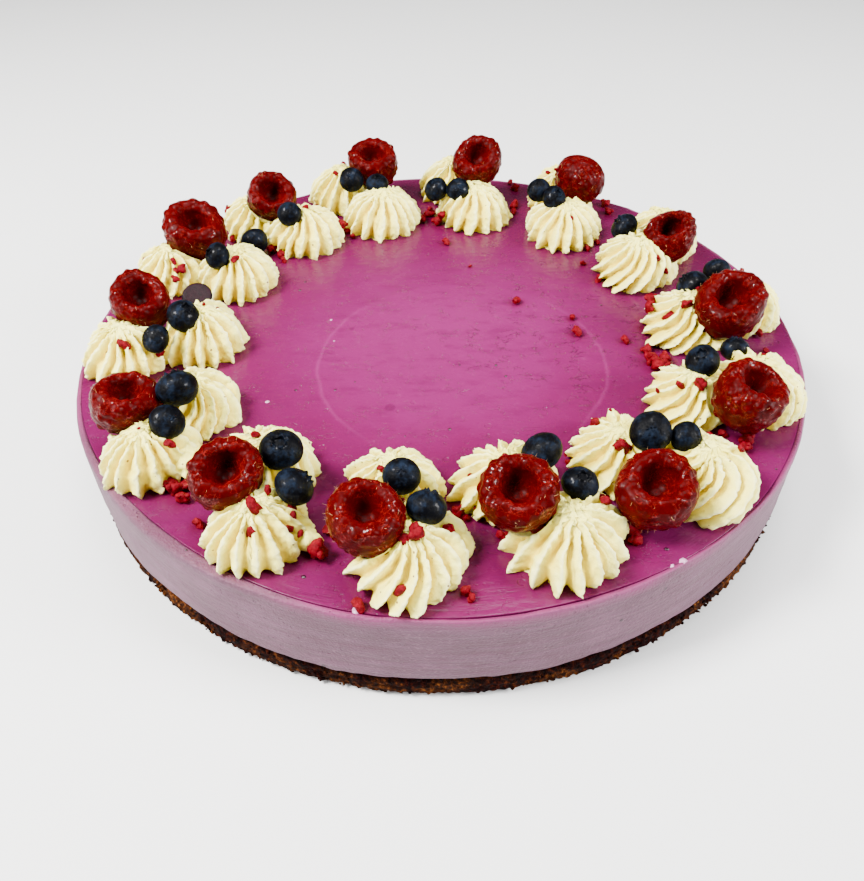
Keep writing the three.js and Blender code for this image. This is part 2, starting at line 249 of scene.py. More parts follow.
def object_place(tree, stretch=(1, 1, 1)):
    """Object coordinates in millimetres, stretched along each axis."""
    place = tree.nodes.new("ShaderNodeTexCoord")
    mapping = tree.nodes.new("ShaderNodeMapping")
    mapping.inputs["Scale"].default_value = [1000 * s for s in stretch]
    tree.links.new(place.outputs["Object"], mapping.inputs["Vector"])
    return mapping.outputs["Vector"]


def cloud(tree, place, size, detail=3, rough=0.55):
    """Noise with features of this size in millimetres."""
    made = tree.nodes.new("ShaderNodeTexNoise")
    tree.links.new(place, made.inputs["Vector"])
    made.inputs["Scale"].default_value = 1 / size
    made.inputs["Detail"].default_value = detail
    made.inputs["Roughness"].default_value = rough
    return made.outputs["Fac"]


def steps(tree, factor, *stops):
    """Colours or values laid out over a factor: (place, colour)."""
    made = tree.nodes.new("ShaderNodeValToRGB")
    ramp = made.color_ramp
    while len(ramp.elements) < len(stops):
        ramp.elements.new(0.5)
    for element, (position, colour) in zip(ramp.elements, stops):
        element.position = position
        element.color = (*colour, 1) if isinstance(colour, tuple) else (colour, colour, colour, 1)
    wire(tree, made.inputs["Fac"], factor)
    return made.outputs["Color"]


def blend(tree, factor, first, second, how="MIX"):
    made = tree.nodes.new("ShaderNodeMix")
    made.data_type = "RGBA"
    made.blend_type = how
    wire(tree, made.inputs[0], factor)
    for socket, value in ((made.inputs[6], first), (made.inputs[7], second)):
        wire(tree, socket, (*value, 1) if isinstance(value, tuple) else value)
    return made.outputs[2]


def sums(tree, how, first, second):
    made = tree.nodes.new("ShaderNodeMath")
    made.operation = how
    wire(tree, made.inputs[0], first)
    wire(tree, made.inputs[1], second)
    return made.outputs[0]


def bumped(tree, shader, height, depth_mm, strength=1.0):
    made = tree.nodes.new("ShaderNodeBump")
    made.inputs["Strength"].default_value = strength
    made.inputs["Distance"].default_value = depth_mm * MM
    wire(tree, made.inputs["Height"], height)
    wire(tree, shader.inputs["Normal"], made.outputs["Normal"])


crumb_finish, tree, shader = new_finish("pressed chocolate crumbs")
place = object_place(tree)
biscuit = cloud(tree, place, 1.3, 4, 0.7)
patches = cloud(tree, place, 11, 2)
dark = steps(tree, biscuit, (0.38, (0.0012, 0.0002, 0.0002)), (0.52, (0.0075, 0.0010, 0.0009)),
             (0.64, (0.036, 0.006, 0.0025)), (0.76, (0.14, 0.034, 0.010)))
golden = steps(tree, biscuit, (0.4, (0.004, 0.0009, 0.0004)), (0.55, (0.055, 0.015, 0.0035)),
               (0.7, (0.28, 0.095, 0.02)))
wire(tree, shader.inputs["Base Color"], blend(tree, steps(tree, patches, (0.46, 0.0), (0.6, 0.9)), dark, golden))
wire(tree, shader.inputs["Roughness"], steps(tree, biscuit, (0.3, 0.5), (0.7, 0.85)))
shader.inputs["Specular IOR Level"].default_value = 0.02
bumped(tree, shader, sums(tree, "ADD", biscuit, cloud(tree, place, 0.4, 3, 0.6)), 0.6)
crumb_base.data.materials.clear()
crumb_base.data.materials.append(crumb_finish)
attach(crumb_base, "root")
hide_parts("crumb_base")

# ---- Filling ----
# Set cheesecake cream of purple yam, smoothed along the inside of the ring: its wall has fine drag
# marks, pores and a few dark flecks, and it stands up as a thin soft rim round the jelly.

FILLING_TOP = 33.5 * MM
RIM_WIDTH = 1.6 * MM
JELLY_TOP = 33.8 * MM
SHRUNK_AT = math.radians(228)
SHRUNK_SPREAD = math.radians(22)
SHRUNK_BY = 2.2 * MM


def jelly_edge(angle):
    """The jelly's radius, smaller where it has shrunk from the rim on the near left."""
    away = (angle % (2 * math.pi) - SHRUNK_AT) / SHRUNK_SPREAD
    return CAKE_RADIUS - RIM_WIDTH - SHRUNK_BY * math.exp(-away * away) + 0.2 * MM * math.sin(7 * angle + 1)


filling = turn_piece("purple_yam_filling", [
    (0.5 * CAKE_RADIUS, BASE_HEIGHT + 0.3 * MM), (0.97 * CAKE_RADIUS, BASE_HEIGHT + 0.3 * MM),
    (CAKE_RADIUS - 0.5 * MM, BASE_HEIGHT + 0.3 * MM), (CAKE_RADIUS - 0.1 * MM, BASE_HEIGHT + 1.2 * MM),
    (CAKE_RADIUS - 0.1 * MM, 13 * MM), (CAKE_RADIUS - 0.05 * MM, 18 * MM), (CAKE_RADIUS - 0.05 * MM, 23 * MM),
    (CAKE_RADIUS - 0.05 * MM, 28 * MM), (CAKE_RADIUS - 0.05 * MM, 32 * MM),
    (CAKE_RADIUS - 0.2 * MM, FILLING_TOP - 0.3 * MM), (CAKE_RADIUS - 0.6 * MM, FILLING_TOP + 0.2 * MM),
    (CAKE_RADIUS - 1.2 * MM, FILLING_TOP + 0.15 * MM), (CAKE_RADIUS - 1.5 * MM, FILLING_TOP - 0.1 * MM),
    (CAKE_RADIUS - 2.0 * MM, FILLING_TOP - 0.9 * MM), (CAKE_RADIUS - 2.6 * MM, FILLING_TOP - 1.9 * MM),
    (0.9 * CAKE_RADIUS, FILLING_TOP - 2.1 * MM), (0.5 * CAKE_RADIUS, FILLING_TOP - 2.1 * MM)], BASE_SEGMENTS, levels=2)
points = points_of(filling)
out = np.hypot(points[:, 0], points[:, 1])
angles = np.arctan2(points[:, 1], points[:, 0])
edges = np.array([base_edge(a) for a in angles])
low = np.clip(1 - (points[:, 2] - BASE_HEIGHT) / (6 * MM), 0, 1) * (out > 0.9 * CAKE_RADIUS)
torn = 0.55 * MM * lumps(points * [1, 1, 0], 2.6 * MM, 8) + 0.4 * MM * lumps(points * [1, 1, 0], 8 * MM, 9)
points[:, 2] += low * (edges - BASE_HEIGHT + torn)
wall = np.clip((out - 0.97 * CAKE_RADIUS) / (0.02 * CAKE_RADIUS), 0, 1)
marks = 0.10 * MM * lumps(points * [0.1, 0.1, 1], 1.6 * MM, 4) + 0.22 * MM * lumps(points, 14 * MM, 5)
marks += 0.1 * MM * lumps(points, 3 * MM, 6)
points[:, :2] *= (1 + wall * np.minimum(marks - 0.1 * MM, 0.05 * MM) / np.maximum(out, 0.02))[:, None]
shrunk = CAKE_RADIUS - RIM_WIDTH - np.array([jelly_edge(a) for a in angles])
rim = np.clip((CAKE_RADIUS - 0.7 * MM - out) / (0.5 * MM), 0, 1) * (points[:, 2] > 31 * MM) * (out > 0.95 * CAKE_RADIUS)
points[:, :2] *= (1 - rim * shrunk / np.maximum(out, 0.02))[:, None]
top = np.clip((points[:, 2] - 31.5 * MM) / (1.5 * MM), 0, 1) * (out > 0.96 * CAKE_RADIUS)
points[:, 2] += top * (0.3 * MM * lumps(points * [1, 1, 0], 5 * MM, 7) - 0.05 * MM)
set_points(filling, points)
juice = np.clip((CAKE_RADIUS - 0.35 * MM - out) / (0.5 * MM), 0, 1) * (points[:, 2] > 31 * MM)
juice *= np.clip(1.15 - shrunk / (0.7 * MM), 0.1, 1)
blush = np.clip((points[:, 2] - 30.2 * MM) / (3.2 * MM), 0, 1) * (out > CAKE_RADIUS - 0.9 * MM)
blush *= np.clip(0.42 + 0.35 * lumps(points * [1, 1, 2], 6 * MM, 14), 0.1, 0.6) * np.clip(1.2 - shrunk / (0.9 * MM), 0, 1)
juice = np.maximum(juice, blush)
filling.data.attributes.new("juice", "FLOAT", "POINT").data.foreach_set("value", juice.astype(np.float32))


def speck_group():
    """A shader group for small dark specks or pores: a mask that is 1 in a few round spots."""
    group = bpy.data.node_groups.new("scattered specks", "ShaderNodeTree")
    group.interface.new_socket("Place", in_out="INPUT", socket_type="NodeSocketVector")
    group.interface.new_socket("Spacing", in_out="INPUT", socket_type="NodeSocketFloat")
    group.interface.new_socket("Size", in_out="INPUT", socket_type="NodeSocketFloat")
    group.interface.new_socket("Share", in_out="INPUT", socket_type="NodeSocketFloat")
    group.interface.new_socket("Mask", in_out="OUTPUT", socket_type="NodeSocketFloat")
    ends = group.nodes.new("NodeGroupInput"), group.nodes.new("NodeGroupOutput")
    cells = group.nodes.new("ShaderNodeTexVoronoi")
    group.links.new(ends[0].outputs["Place"], cells.inputs["Vector"])
    wire(group, cells.inputs["Scale"], sums(group, "DIVIDE", 1.0, ends[0].outputs["Spacing"]))
    split = group.nodes.new("ShaderNodeSeparateColor")
    group.links.new(cells.outputs["Color"], split.inputs["Color"])
    chosen = sums(group, "LESS_THAN", split.outputs["Red"], ends[0].outputs["Share"])
    reach = sums(group, "MULTIPLY", sums(group, "DIVIDE", ends[0].outputs["Size"], ends[0].outputs["Spacing"]),
                 sums(group, "ADD", 0.5, split.outputs["Green"]))
    near = sums(group, "SUBTRACT", 1.0, sums(group, "DIVIDE", cells.outputs["Distance"], reach))
    soft = sums(group, "MULTIPLY", near, 4.0)
    soft.node.use_clamp = True
    group.links.new(sums(group, "MULTIPLY", soft, chosen), ends[1].inputs["Mask"])
    return group


SPECKS = speck_group()


def specks(tree, place, spacing, size, share):
    """Places the speck group: cell spacing and speck size in millimetres, and the share of cells used."""
    made = tree.nodes.new("ShaderNodeGroup")
    made.node_tree = SPECKS
    for name, value in (("Place", place), ("Spacing", spacing), ("Size", size), ("Share", share)):
        wire(tree, made.inputs[name], value)
    return made.outputs["Mask"]


filling_finish, tree, shader = new_finish("set purple yam cream")
place = object_place(tree)
drag = cloud(tree, object_place(tree, (0.05, 0.05, 1)), 1.3, 4, 0.6)
soft = cloud(tree, place, 16, 3)
colour = blend(tree, steps(tree, soft, (0.35, 0.0), (0.7, 1.0)), (0.080, 0.0245, 0.049), (0.123, 0.0445, 0.083))
colour = blend(tree, steps(tree, drag, (0.42, 0.6), (0.58, 0.0)), colour, (0.064, 0.021, 0.036))
colour = blend(tree, steps(tree, cloud(tree, place, 1.1, 4, 0.65), (0.56, 0.0), (0.76, 0.35)), colour,
               (0.29, 0.15, 0.20))
colour = blend(tree, specks(tree, place, 5.5, 0.5, 0.2), colour, (0.02, 0.004, 0.01))
juice = tree.nodes.new("ShaderNodeAttribute")
juice.attribute_name = "juice"
colour = blend(tree, steps(tree, juice.outputs["Fac"], (0.0, 0.0), (0.5, 1.0)), colour, (0.16, 0.022, 0.086))
colour = blend(tree, steps(tree, juice.outputs["Fac"], (0.5, 0.0), (1.0, 1.0)), colour, (0.13, 0.010, 0.062))
wire(tree, shader.inputs["Base Color"], colour)
shader.inputs["Roughness"].default_value = 0.55
shader.inputs["Specular IOR Level"].default_value = 0.3
pores = specks(tree, place, 1.5, 0.4, 0.3)
bumped(tree, shader, sums(tree, "SUBTRACT", sums(tree, "ADD", drag, cloud(tree, place, 0.6, 3)), pores), 0.35)
filling.data.materials.clear()
filling.data.materials.append(filling_finish)
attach(filling, "root")
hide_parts("cheesecake_layer")

# ---- Jelly top ----
# A thin blueberry jelly poured over the set filling: glossy, with a painted sheen that makes it lighter and pinker in
# the middle and painted shade towards the back and round the cream, with a faint ring where it was spread, small
# wrinkles, pits and dark flecks of fruit skin.

JELLY_GAP = 0.12 * MM
jelly_rings = [(0.5 * CAKE_RADIUS, JELLY_TOP - 2 * MM), (0.98 * CAKE_RADIUS, JELLY_TOP - 2 * MM),
               (0.986 * CAKE_RADIUS, JELLY_TOP - 1 * MM), (0.986 * CAKE_RADIUS, JELLY_TOP - 0.14 * MM),
               (0.9848 * CAKE_RADIUS, JELLY_TOP - 0.03 * MM), (0.981 * CAKE_RADIUS, JELLY_TOP)]
jelly_rings += [((0.965 - 0.0345 * i) * CAKE_RADIUS, JELLY_TOP) for i in range(28)]
jelly = turn_piece("berry_jelly_top", jelly_rings, BASE_SEGMENTS, levels=2)
points = points_of(jelly)
out = np.hypot(points[:, 0], points[:, 1])
angles = np.arctan2(points[:, 1], points[:, 0])
edge = np.array([jelly_edge(a) for a in angles]) - JELLY_GAP
full = 0.986 * CAKE_RADIUS
points[:, :2] *= (1 + np.clip(out / full - 0.6, 0, 1) / 0.4 * (edge / full - 1))[:, None]
upper = points[:, 2] > JELLY_TOP - 0.6 * MM
relief = 0.13 * MM * lumps(points * [1, 1, 0], 26 * MM, 11) + 0.05 * MM * lumps(points * [1, 1, 0], 7 * MM, 12)
ring = np.hypot(points[:, 0] - 7 * MM, points[:, 1] + 19 * MM)
relief += 0.12 * MM * np.exp(-((ring - 47 * MM) / (0.8 * MM)) ** 2) * np.clip(0.55 + 0.6 * np.cos(angles - 2.9), 0, 1)
relief += 0.025 * MM * np.sin(out / (0.75 * MM)) * np.clip((out - 106 * MM) / (6 * MM), 0, 1) * np.clip(
    lumps(points * [1, 1, 0], 14 * MM, 13) + 0.3, 0, 1)
points[:, 2] += upper * (relief - 0.12 * MM)
set_points(jelly, points)

jelly_finish, tree, shader = new_finish("glossy berry jelly")
place = object_place(tree)
flat = object_place(tree, (1, 1, 0))
length = tree.nodes.new("ShaderNodeVectorMath")
length.operation = "LENGTH"
tree.links.new(flat, length.inputs[0])
centred = sums(tree, "DIVIDE", length.outputs["Value"], 120.0)
# Painted sheen: the colour is lighter and pinker towards the middle, where the overhead light shines on the jelly, and
# darker out towards the rim.
sheen_spread = sums(tree, "ADD", centred, sums(tree, "MULTIPLY", cloud(tree, flat, 30, 3), 0.35))
colour = steps(tree, sums(tree, "SUBTRACT", sheen_spread, 0.17), (0.0, (0.134, 0.0090, 0.070)),
               (0.34, (0.120, 0.0070, 0.061)), (0.54, (0.095, 0.0036, 0.042)), (0.97, (0.094, 0.0042, 0.043)))
streaks = cloud(tree, object_place(tree, (0.35, 1, 0)), 5, 4, 0.65)
colour = blend(tree, steps(tree, streaks, (0.5, 0.0), (0.66, 0.5)), colour, (0.08, 0.0036, 0.038))
colour = blend(tree, steps(tree, cloud(tree, flat, 2.4, 4, 0.7), (0.6, 0.0), (0.78, 0.3)), colour,
               (0.26, 0.04, 0.15))
parts = tree.nodes.new("ShaderNodeSeparateXYZ")
tree.links.new(flat, parts.inputs[0])
disc = tree.nodes.new("ShaderNodeVectorMath")
disc.operation = "DISTANCE"
disc.inputs[1].default_value = (7, -19, 0)
tree.links.new(flat, disc.inputs[0])
disc = sums(tree, "ADD", sums(tree, "DIVIDE", disc.outputs["Value"], 60.0),
            sums(tree, "MULTIPLY", cloud(tree, flat, 12, 2), 0.045))
flank = sums(tree, "DIVIDE", sums(tree, "ABSOLUTE", sums(tree, "SUBTRACT", parts.outputs[0], 7.0), 0.0), 60.0)
arc = sums(tree, "MULTIPLY", steps(tree, disc, (0.792, 0.0), (0.803, 1.0), (0.82, 0.0)),
           steps(tree, flank, (0.42, 0.0), (0.7, 0.2)))
disc = sums(tree, "MULTIPLY", steps(tree, disc, (0.8, 0.0), (0.83, 1.0)),
            steps(tree, cloud(tree, flat, 22, 2), (0.35, 0.05), (0.6, 0.4)))
colour = blend(tree, disc, colour, (0.092, 0.0042, 0.044))
colour = blend(tree, arc, colour, (0.24, 0.036, 0.14))
# Painted shade: the jelly is darker towards the back of the cake, away from the camera, where the light falls off.
back_shade = steps(tree, sums(tree, "DIVIDE", parts.outputs[1], 120.0), (0.1, 0.0), (0.75, 0.75))
colour = blend(tree, back_shade, colour, (0.060, 0.0012, 0.022))
stain = tree.nodes.new("ShaderNodeAttribute")
stain.attribute_name = "stain"
cream_shade = tree.nodes.new("ShaderNodeAttribute")
cream_shade.attribute_name = "shade round cream"
# Painted shade: the jelly is darker and more purple round the feet of the cream, where the rosettes shade it.
colour = blend(tree, sums(tree, "MULTIPLY", cream_shade.outputs["Fac"], 0.5), colour, (0.062, 0.0012, 0.023))
colour = blend(tree, sums(tree, "MULTIPLY", stain.outputs["Fac"], 0.8), colour, (0.065, 0.0008, 0.009))
colour = blend(tree, sums(tree, "MULTIPLY", specks(tree, flat, 17.0, 1.8, 0.3), 0.35), colour, (0.03, 0.002, 0.012))
wire(tree, shader.inputs["Base Color"], colour)
wire(tree, shader.inputs["Roughness"], steps(tree, cloud(tree, flat, 6, 3), (0.3, 0.18), (0.7, 0.34)))
shader.inputs["Specular IOR Level"].default_value = 0.13
shader.inputs["Coat Weight"].default_value = 0.03
shader.inputs["Coat Roughness"].default_value = 0.15
pits = specks(tree, flat, 4.5, 0.9, 0.22)
middle = tree.nodes.new("ShaderNodeVectorMath")
middle.operation = "DISTANCE"
middle.inputs[1].default_value = (38, -2, 0)
tree.links.new(flat, middle.inputs[0])
patch = steps(tree, sums(tree, "DIVIDE", middle.outputs["Value"], 60.0), (0.25, 1.0), (0.9, 0.3))
creases = cloud(tree, object_place(tree, (0.5, 1, 0)), 3.2, 3, 0.6)
line = steps(tree, creases, (0.5, 0.0), (0.515, 1.0), (0.53, 0.0))
ridged = sums(tree, "MULTIPLY", sums(tree, "MULTIPLY", line, patch),
              steps(tree, cloud(tree, flat, 8, 2), (0.5, 0.0), (0.6, 1.0)))
colour = blend(tree, sums(tree, "MULTIPLY", ridged, 0.6), colour, (0.055, 0.002, 0.026))
wrinkles = steps(tree, streaks, (0.45, 0.0), (0.6, 1.0))
spread = tree.nodes.new("ShaderNodeCombineXYZ")
for socket, value in ((0, sums(tree, "DIVIDE", length.outputs["Value"], 1.3)), (1, sums(tree, "DIVIDE", parts.outputs[0], 45.0)),
                      (2, sums(tree, "DIVIDE", parts.outputs[1], 45.0))):
    wire(tree, spread.inputs[socket], value)
lines = steps(tree, cloud(tree, spread.outputs[0], 1, 3, 0.6), (0.46, 0.0), (0.5, 1.0), (0.56, 0.0))
near_rim = sums(tree, "MULTIPLY", steps(tree, centred, (0.88, 0.0), (0.93, 1.0)),
                steps(tree, cloud(tree, flat, 18, 2), (0.42, 0.0), (0.55, 1.0)))
near_side = steps(tree, sums(tree, "DIVIDE", parts.outputs[1], -120.0), (0.6, 0.0), (0.8, 1.0))
near_rim = sums(tree, "MULTIPLY", near_rim, near_side)
lines = sums(tree, "MULTIPLY", lines, near_rim)
wire(tree, shader.inputs["Base Color"], blend(tree, sums(tree, "MULTIPLY", lines, 0.5), colour, (0.04, 0.0015, 0.016)))
ridged = sums(tree, "ADD", ridged, sums(tree, "MULTIPLY", lines, 0.1))
height = sums(tree, "SUBTRACT", sums(tree, "ADD", sums(tree, "MULTIPLY", wrinkles, 0.12), cloud(tree, flat, 9, 3)),
              sums(tree, "MULTIPLY", pits, 0.6))
bumped(tree, shader, sums(tree, "SUBTRACT", height, ridged), 0.3)
jelly.data.materials.clear()
jelly.data.materials.append(jelly_finish)
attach(jelly, "root")
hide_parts("jelly_top")

# ---- Piped cream ----
# Firm whipped cream from an open star nozzle, two rosettes to a decoration: one near the rim and one
# inside it, run together. The ridges turn as they rise, and their feet are torn where the nozzle left.

# [angle round the cake, outer rosette, inner rosette]: each rosette is [out, side, radius, height, twist,
# flare], with the twist in radians from foot to top, and the flare of its pointed feet.
ROSETTES = [
    (-122, (104.5, 8.5, 13.6, 14, 0.1, 0), (84, -6, 14, 13, 0.5, 0.03)),
    (-98, (102.5, 5, 15.4, 14, 0.55, 0.02), (79.5, -3, 13, 14, 0.3, 0.05)),
    (-75, (102.5, 4.5, 15.2, 15, 0.0, 0.07), (79.5, -4.5, 14, 14, 0.4, 0.02)),
    (-51, (103, 6, 15.2, 15, 1.5, 0.02), (83.5, -5, 14.4, 14, 0.6, 0)),
    (-26, (103, 4, 15, 15.5, 0.8, 0), (86.5, -6, 14, 13.5, 0.9, 0)),
    (2, (104, 3, 14, 14, 0.7, 0), (83, -7.5, 14.4, 15, 1.0, 0.02)),
    (30, (103, 3, 14.6, 15, 0.7, 0), (81, -7, 15, 15, 0.9, 0.04)),
    (58, (104, 2.5, 13.6, 17, 0.6, 0), (82.5, -8.5, 15.2, 14, 0.15, 0.06)),
    (83, (103, 4, 14.4, 16, 0.6, 0), (82, -5.5, 15, 15, 0.3, 0.06)),
    (108, (103.5, 7, 14.4, 16, 0.3, 0), (79.5, -3, 15, 15, 0.2, 0.06)),
    (132, (102.5, 4.5, 14.6, 15, 0.5, 0), (81.5, -2.5, 14.8, 15, 0.35, 0.05)),
    (157, (104, 6.5, 13.8, 14.5, 0.5, 0), (80.5, 0.5, 14.6, 15, 0.25, 0.03)),
    (186, (103.5, 4.5, 14.4, 14.5, 0.3, 0), (79.5, -1, 14, 15.5, 0.15, 0.04)),
    (213, (104.5, 8.5, 14, 14, 0.05, 0), (86, -4.5, 13.6, 14, 0.8, 0)),
]

# The berries of each decoration, which dent the cream: [out, side, lift, width, lean, towards], with the
# lean of the open end in degrees and the compass angle that it leans to.
RASPBERRIES = [
    (100.5, -3, 13.5, 19.2, 24, -70), (101, -5.5, 13, 19.6, 10, -60), (95, -7, 14.5, 20.6, 18, -95),
    (102.5, -14, 9.5, 22, 12, -100), (101.5, -11.2, 11.2, 22.8, 20, -20), (94, -12.5, 12, 23.4, 20, -110),
    (94, -8.5, 12.5, 20.4, 28, -115), (98, -7, 15, 20.2, 74, 60), (98, -6, 15.5, 21, 34, -100),
    (101, -5.8, 14.6, 21, 22, -95), (96.5, 1, 14, 20.4, 44, -65), (99.8, -4.8, 13.5, 24.4, 22, -60),
    (98.5, -7.5, 13.5, 20.6, 28, -60), (105, -3.5, 12.5, 20, 12, 0),
]
BLUEBERRIES = [
    [(86, 3, 14.5, 11.8, 20, -80), (94, 13.5, 13, 11, 60, 20)],
    [(86, 1, 14.5, 10, 25, -90), (95.5, 8.5, 14, 10.6, 35, 60)],
    [(81.5, 4.5, 14.5, 12, 50, 150), (94, 10, 14, 9.6, 15, -60)],
    [(90.5, -2.5, 16, 11.6, 40, -110), (97, 4.5, 14.5, 9.4, 60, -40)],
    [(87, -0.8, 14, 10.8, 30, -140), (94.5, 13.5, 11, 8.8, 30, 80)],
    [(85.5, 0.6, 13.4, 11, 50, 160), (98, 12.5, 11.5, 9.4, 30, 90)],
    [(85.5, 6, 12, 10.4, 45, 170)],
    [(87, 5, 13.5, 9.8, 30, -120), (81.5, -4, 14.5, 9.8, 40, -60)],
    [(80.5, 9.5, 12.5, 10.2, 30, -150), (79, 0.5, 13.5, 9.6, 60, -90)],
    [(90, 6.5, 16, 10, 40, -100), (86.2, -3, 14.2, 9.4, 20, -60)],
    [(80.5, 3.5, 14.5, 9.4, 35, -90), (86, 17.5, 6, 10.8, 80, 140)],
    [(83, 6, 14.5, 10, 50, -140)],
    [(83, 2.5, 14.5, 11.4, 30, -20), (91.5, 11, 12.5, 9.6, 40, -150)],
    [(90.5, 1.5, 16.5, 12.4, 40, 120), (97.5, 10.5, 14, 10.4, 50, -30)],
]
HALF_BLUEBERRY = (81, -13.5, 12.0, 10.4, 26, -80)
RASPBERRY_HEIGHT = 0.78
BLUEBERRY_HEIGHT = 0.84
RIDGES = 16
CREAM_LEVELS = [(0.0, 0.90), (0.05, 0.985), (0.15, 1.03), (0.30, 1.03), (0.45, 0.98), (0.59, 0.90), (0.72, 0.78),
                (0.83, 0.63), (0.91, 0.46), (0.965, 0.29), (1.0, 0.10)]


def on_cake(at, out, side, height):
    angle = math.radians(at)
    return Vector((out * math.cos(angle) - side * math.sin(angle),
                   out * math.sin(angle) + side * math.cos(angle), height)) * MM


def berry_place(at, spec):
    """The matrix that carries a berry to its place and leans its open end over."""
    out, side, lift, _, lean, towards = spec
    axis = Vector((-math.sin(math.radians(towards)), math.cos(math.radians(towards)), 0))
    return (Matrix.Translation(on_cake(at, out, side, JELLY_TOP / MM + lift))
            @ Matrix.Rotation(math.radians(lean), 4, axis))


def pick_points(piece, wanted):
    """Selects the points of the piece in edit mode whose number round the ring is wanted."""
    work = bmesh.from_edit_mesh(piece.data)
    bpy.ops.mesh.select_all(action="DESELECT")
    for vertex in work.verts:
        vertex.select_set(wanted(vertex.index))
    work.select_flush(True)
    bmesh.update_edit_mesh(piece.data)


def pipe_rosette():
    """One rosette of radius 1 and height 1: a leaning star is drawn, then extruded up level by level."""
    bpy.ops.object.select_all(action="DESELECT")
    bpy.ops.mesh.primitive_circle_add(vertices=4 * RIDGES, radius=1, fill_type="NOTHING")
    rosette = bpy.context.object
    bpy.ops.object.mode_set(mode="EDIT")
    bpy.ops.mesh.select_mode(type="VERT")
    for number, depth in ((1, 0.76), (2, 0.85), (3, 0.935)):
        pick_points(rosette, lambda index: index % 4 == number)
        bpy.ops.transform.resize(value=(depth, depth, 1), center_override=(0, 0, 0))
    work = bmesh.from_edit_mesh(rosette.data)
    crest = work.verts.layers.int.new("crest")
    work.verts.ensure_lookup_table()
    for vertex in work.verts:
        vertex[crest] = vertex.index % 4 == 0
    bmesh.update_edit_mesh(rosette.data)
    bpy.ops.mesh.select_all(action="SELECT")
    bpy.ops.transform.resize(value=(CREAM_LEVELS[0][1],) * 2 + (1,), center_override=(0, 0, 0))
    for (low, wide), (high, narrow) in zip(CREAM_LEVELS, CREAM_LEVELS[1:]):
        bpy.ops.mesh.extrude_region_move(TRANSFORM_OT_translate={"value": (0, 0, high - low)})
        bpy.ops.transform.resize(value=(narrow / wide, narrow / wide, 1), center_override=(0, 0, high))
    work = bmesh.from_edit_mesh(rosette.data)
    crest = work.verts.layers.int["crest"]
    sharp = work.edges.layers.float.new("crease_edge")
    for edge in work.edges:
        if all(vertex[crest] for vertex in edge.verts):
            edge[sharp] = 0.95
    bmesh.update_edit_mesh(rosette.data)
    bpy.ops.object.mode_set(mode="OBJECT")
    smooth_over(rosette, 2)
    bpy.ops.object.mode_set(mode="EDIT")
    bpy.ops.mesh.select_all(action="SELECT")
    bpy.ops.mesh.fill_holes(sides=0)
    bpy.ops.mesh.select_all(action="SELECT")
    bpy.ops.mesh.normals_make_consistent(inside=False)
    bpy.ops.object.mode_set(mode="OBJECT")
    points = points_of(rosette).astype(float)
    full = np.interp(points[:, 2], *zip(*CREAM_LEVELS))
    # How far each point lies down in the flutes, from 0 on a crest to 1 at the bottom of a valley: it shapes the flutes
    # when each rosette is placed, and the finish paints shade into them with it.
    flute_shade = np.clip((0.95 - np.hypot(points[:, 0], points[:, 1]) / full) / 0.15, 0, 1)
    flute_shade *= np.clip((1 - points[:, 2]) * 7, 0, 1) * (points[:, 2] > 0.005)
    # A thin band along each crest, where the finish paints a highlight.
    edge = np.clip(1 - (1.0 - np.hypot(points[:, 0], points[:, 1]) / full) / 0.06, 0, 1) * (points[:, 2] < 0.97)
    rosette.data.attributes.new("flute_shade", "FLOAT", "POINT").data.foreach_set("value", flute_shade.astype(np.float32))
    rosette.data.attributes.new("painted ridge highlight", "FLOAT", "POINT").data.foreach_set("value", edge.astype(np.float32))
    return rosette, points, flute_shade, edge


rosette_pattern, pattern_points, pattern_flute, pattern_edge = pipe_rosette()


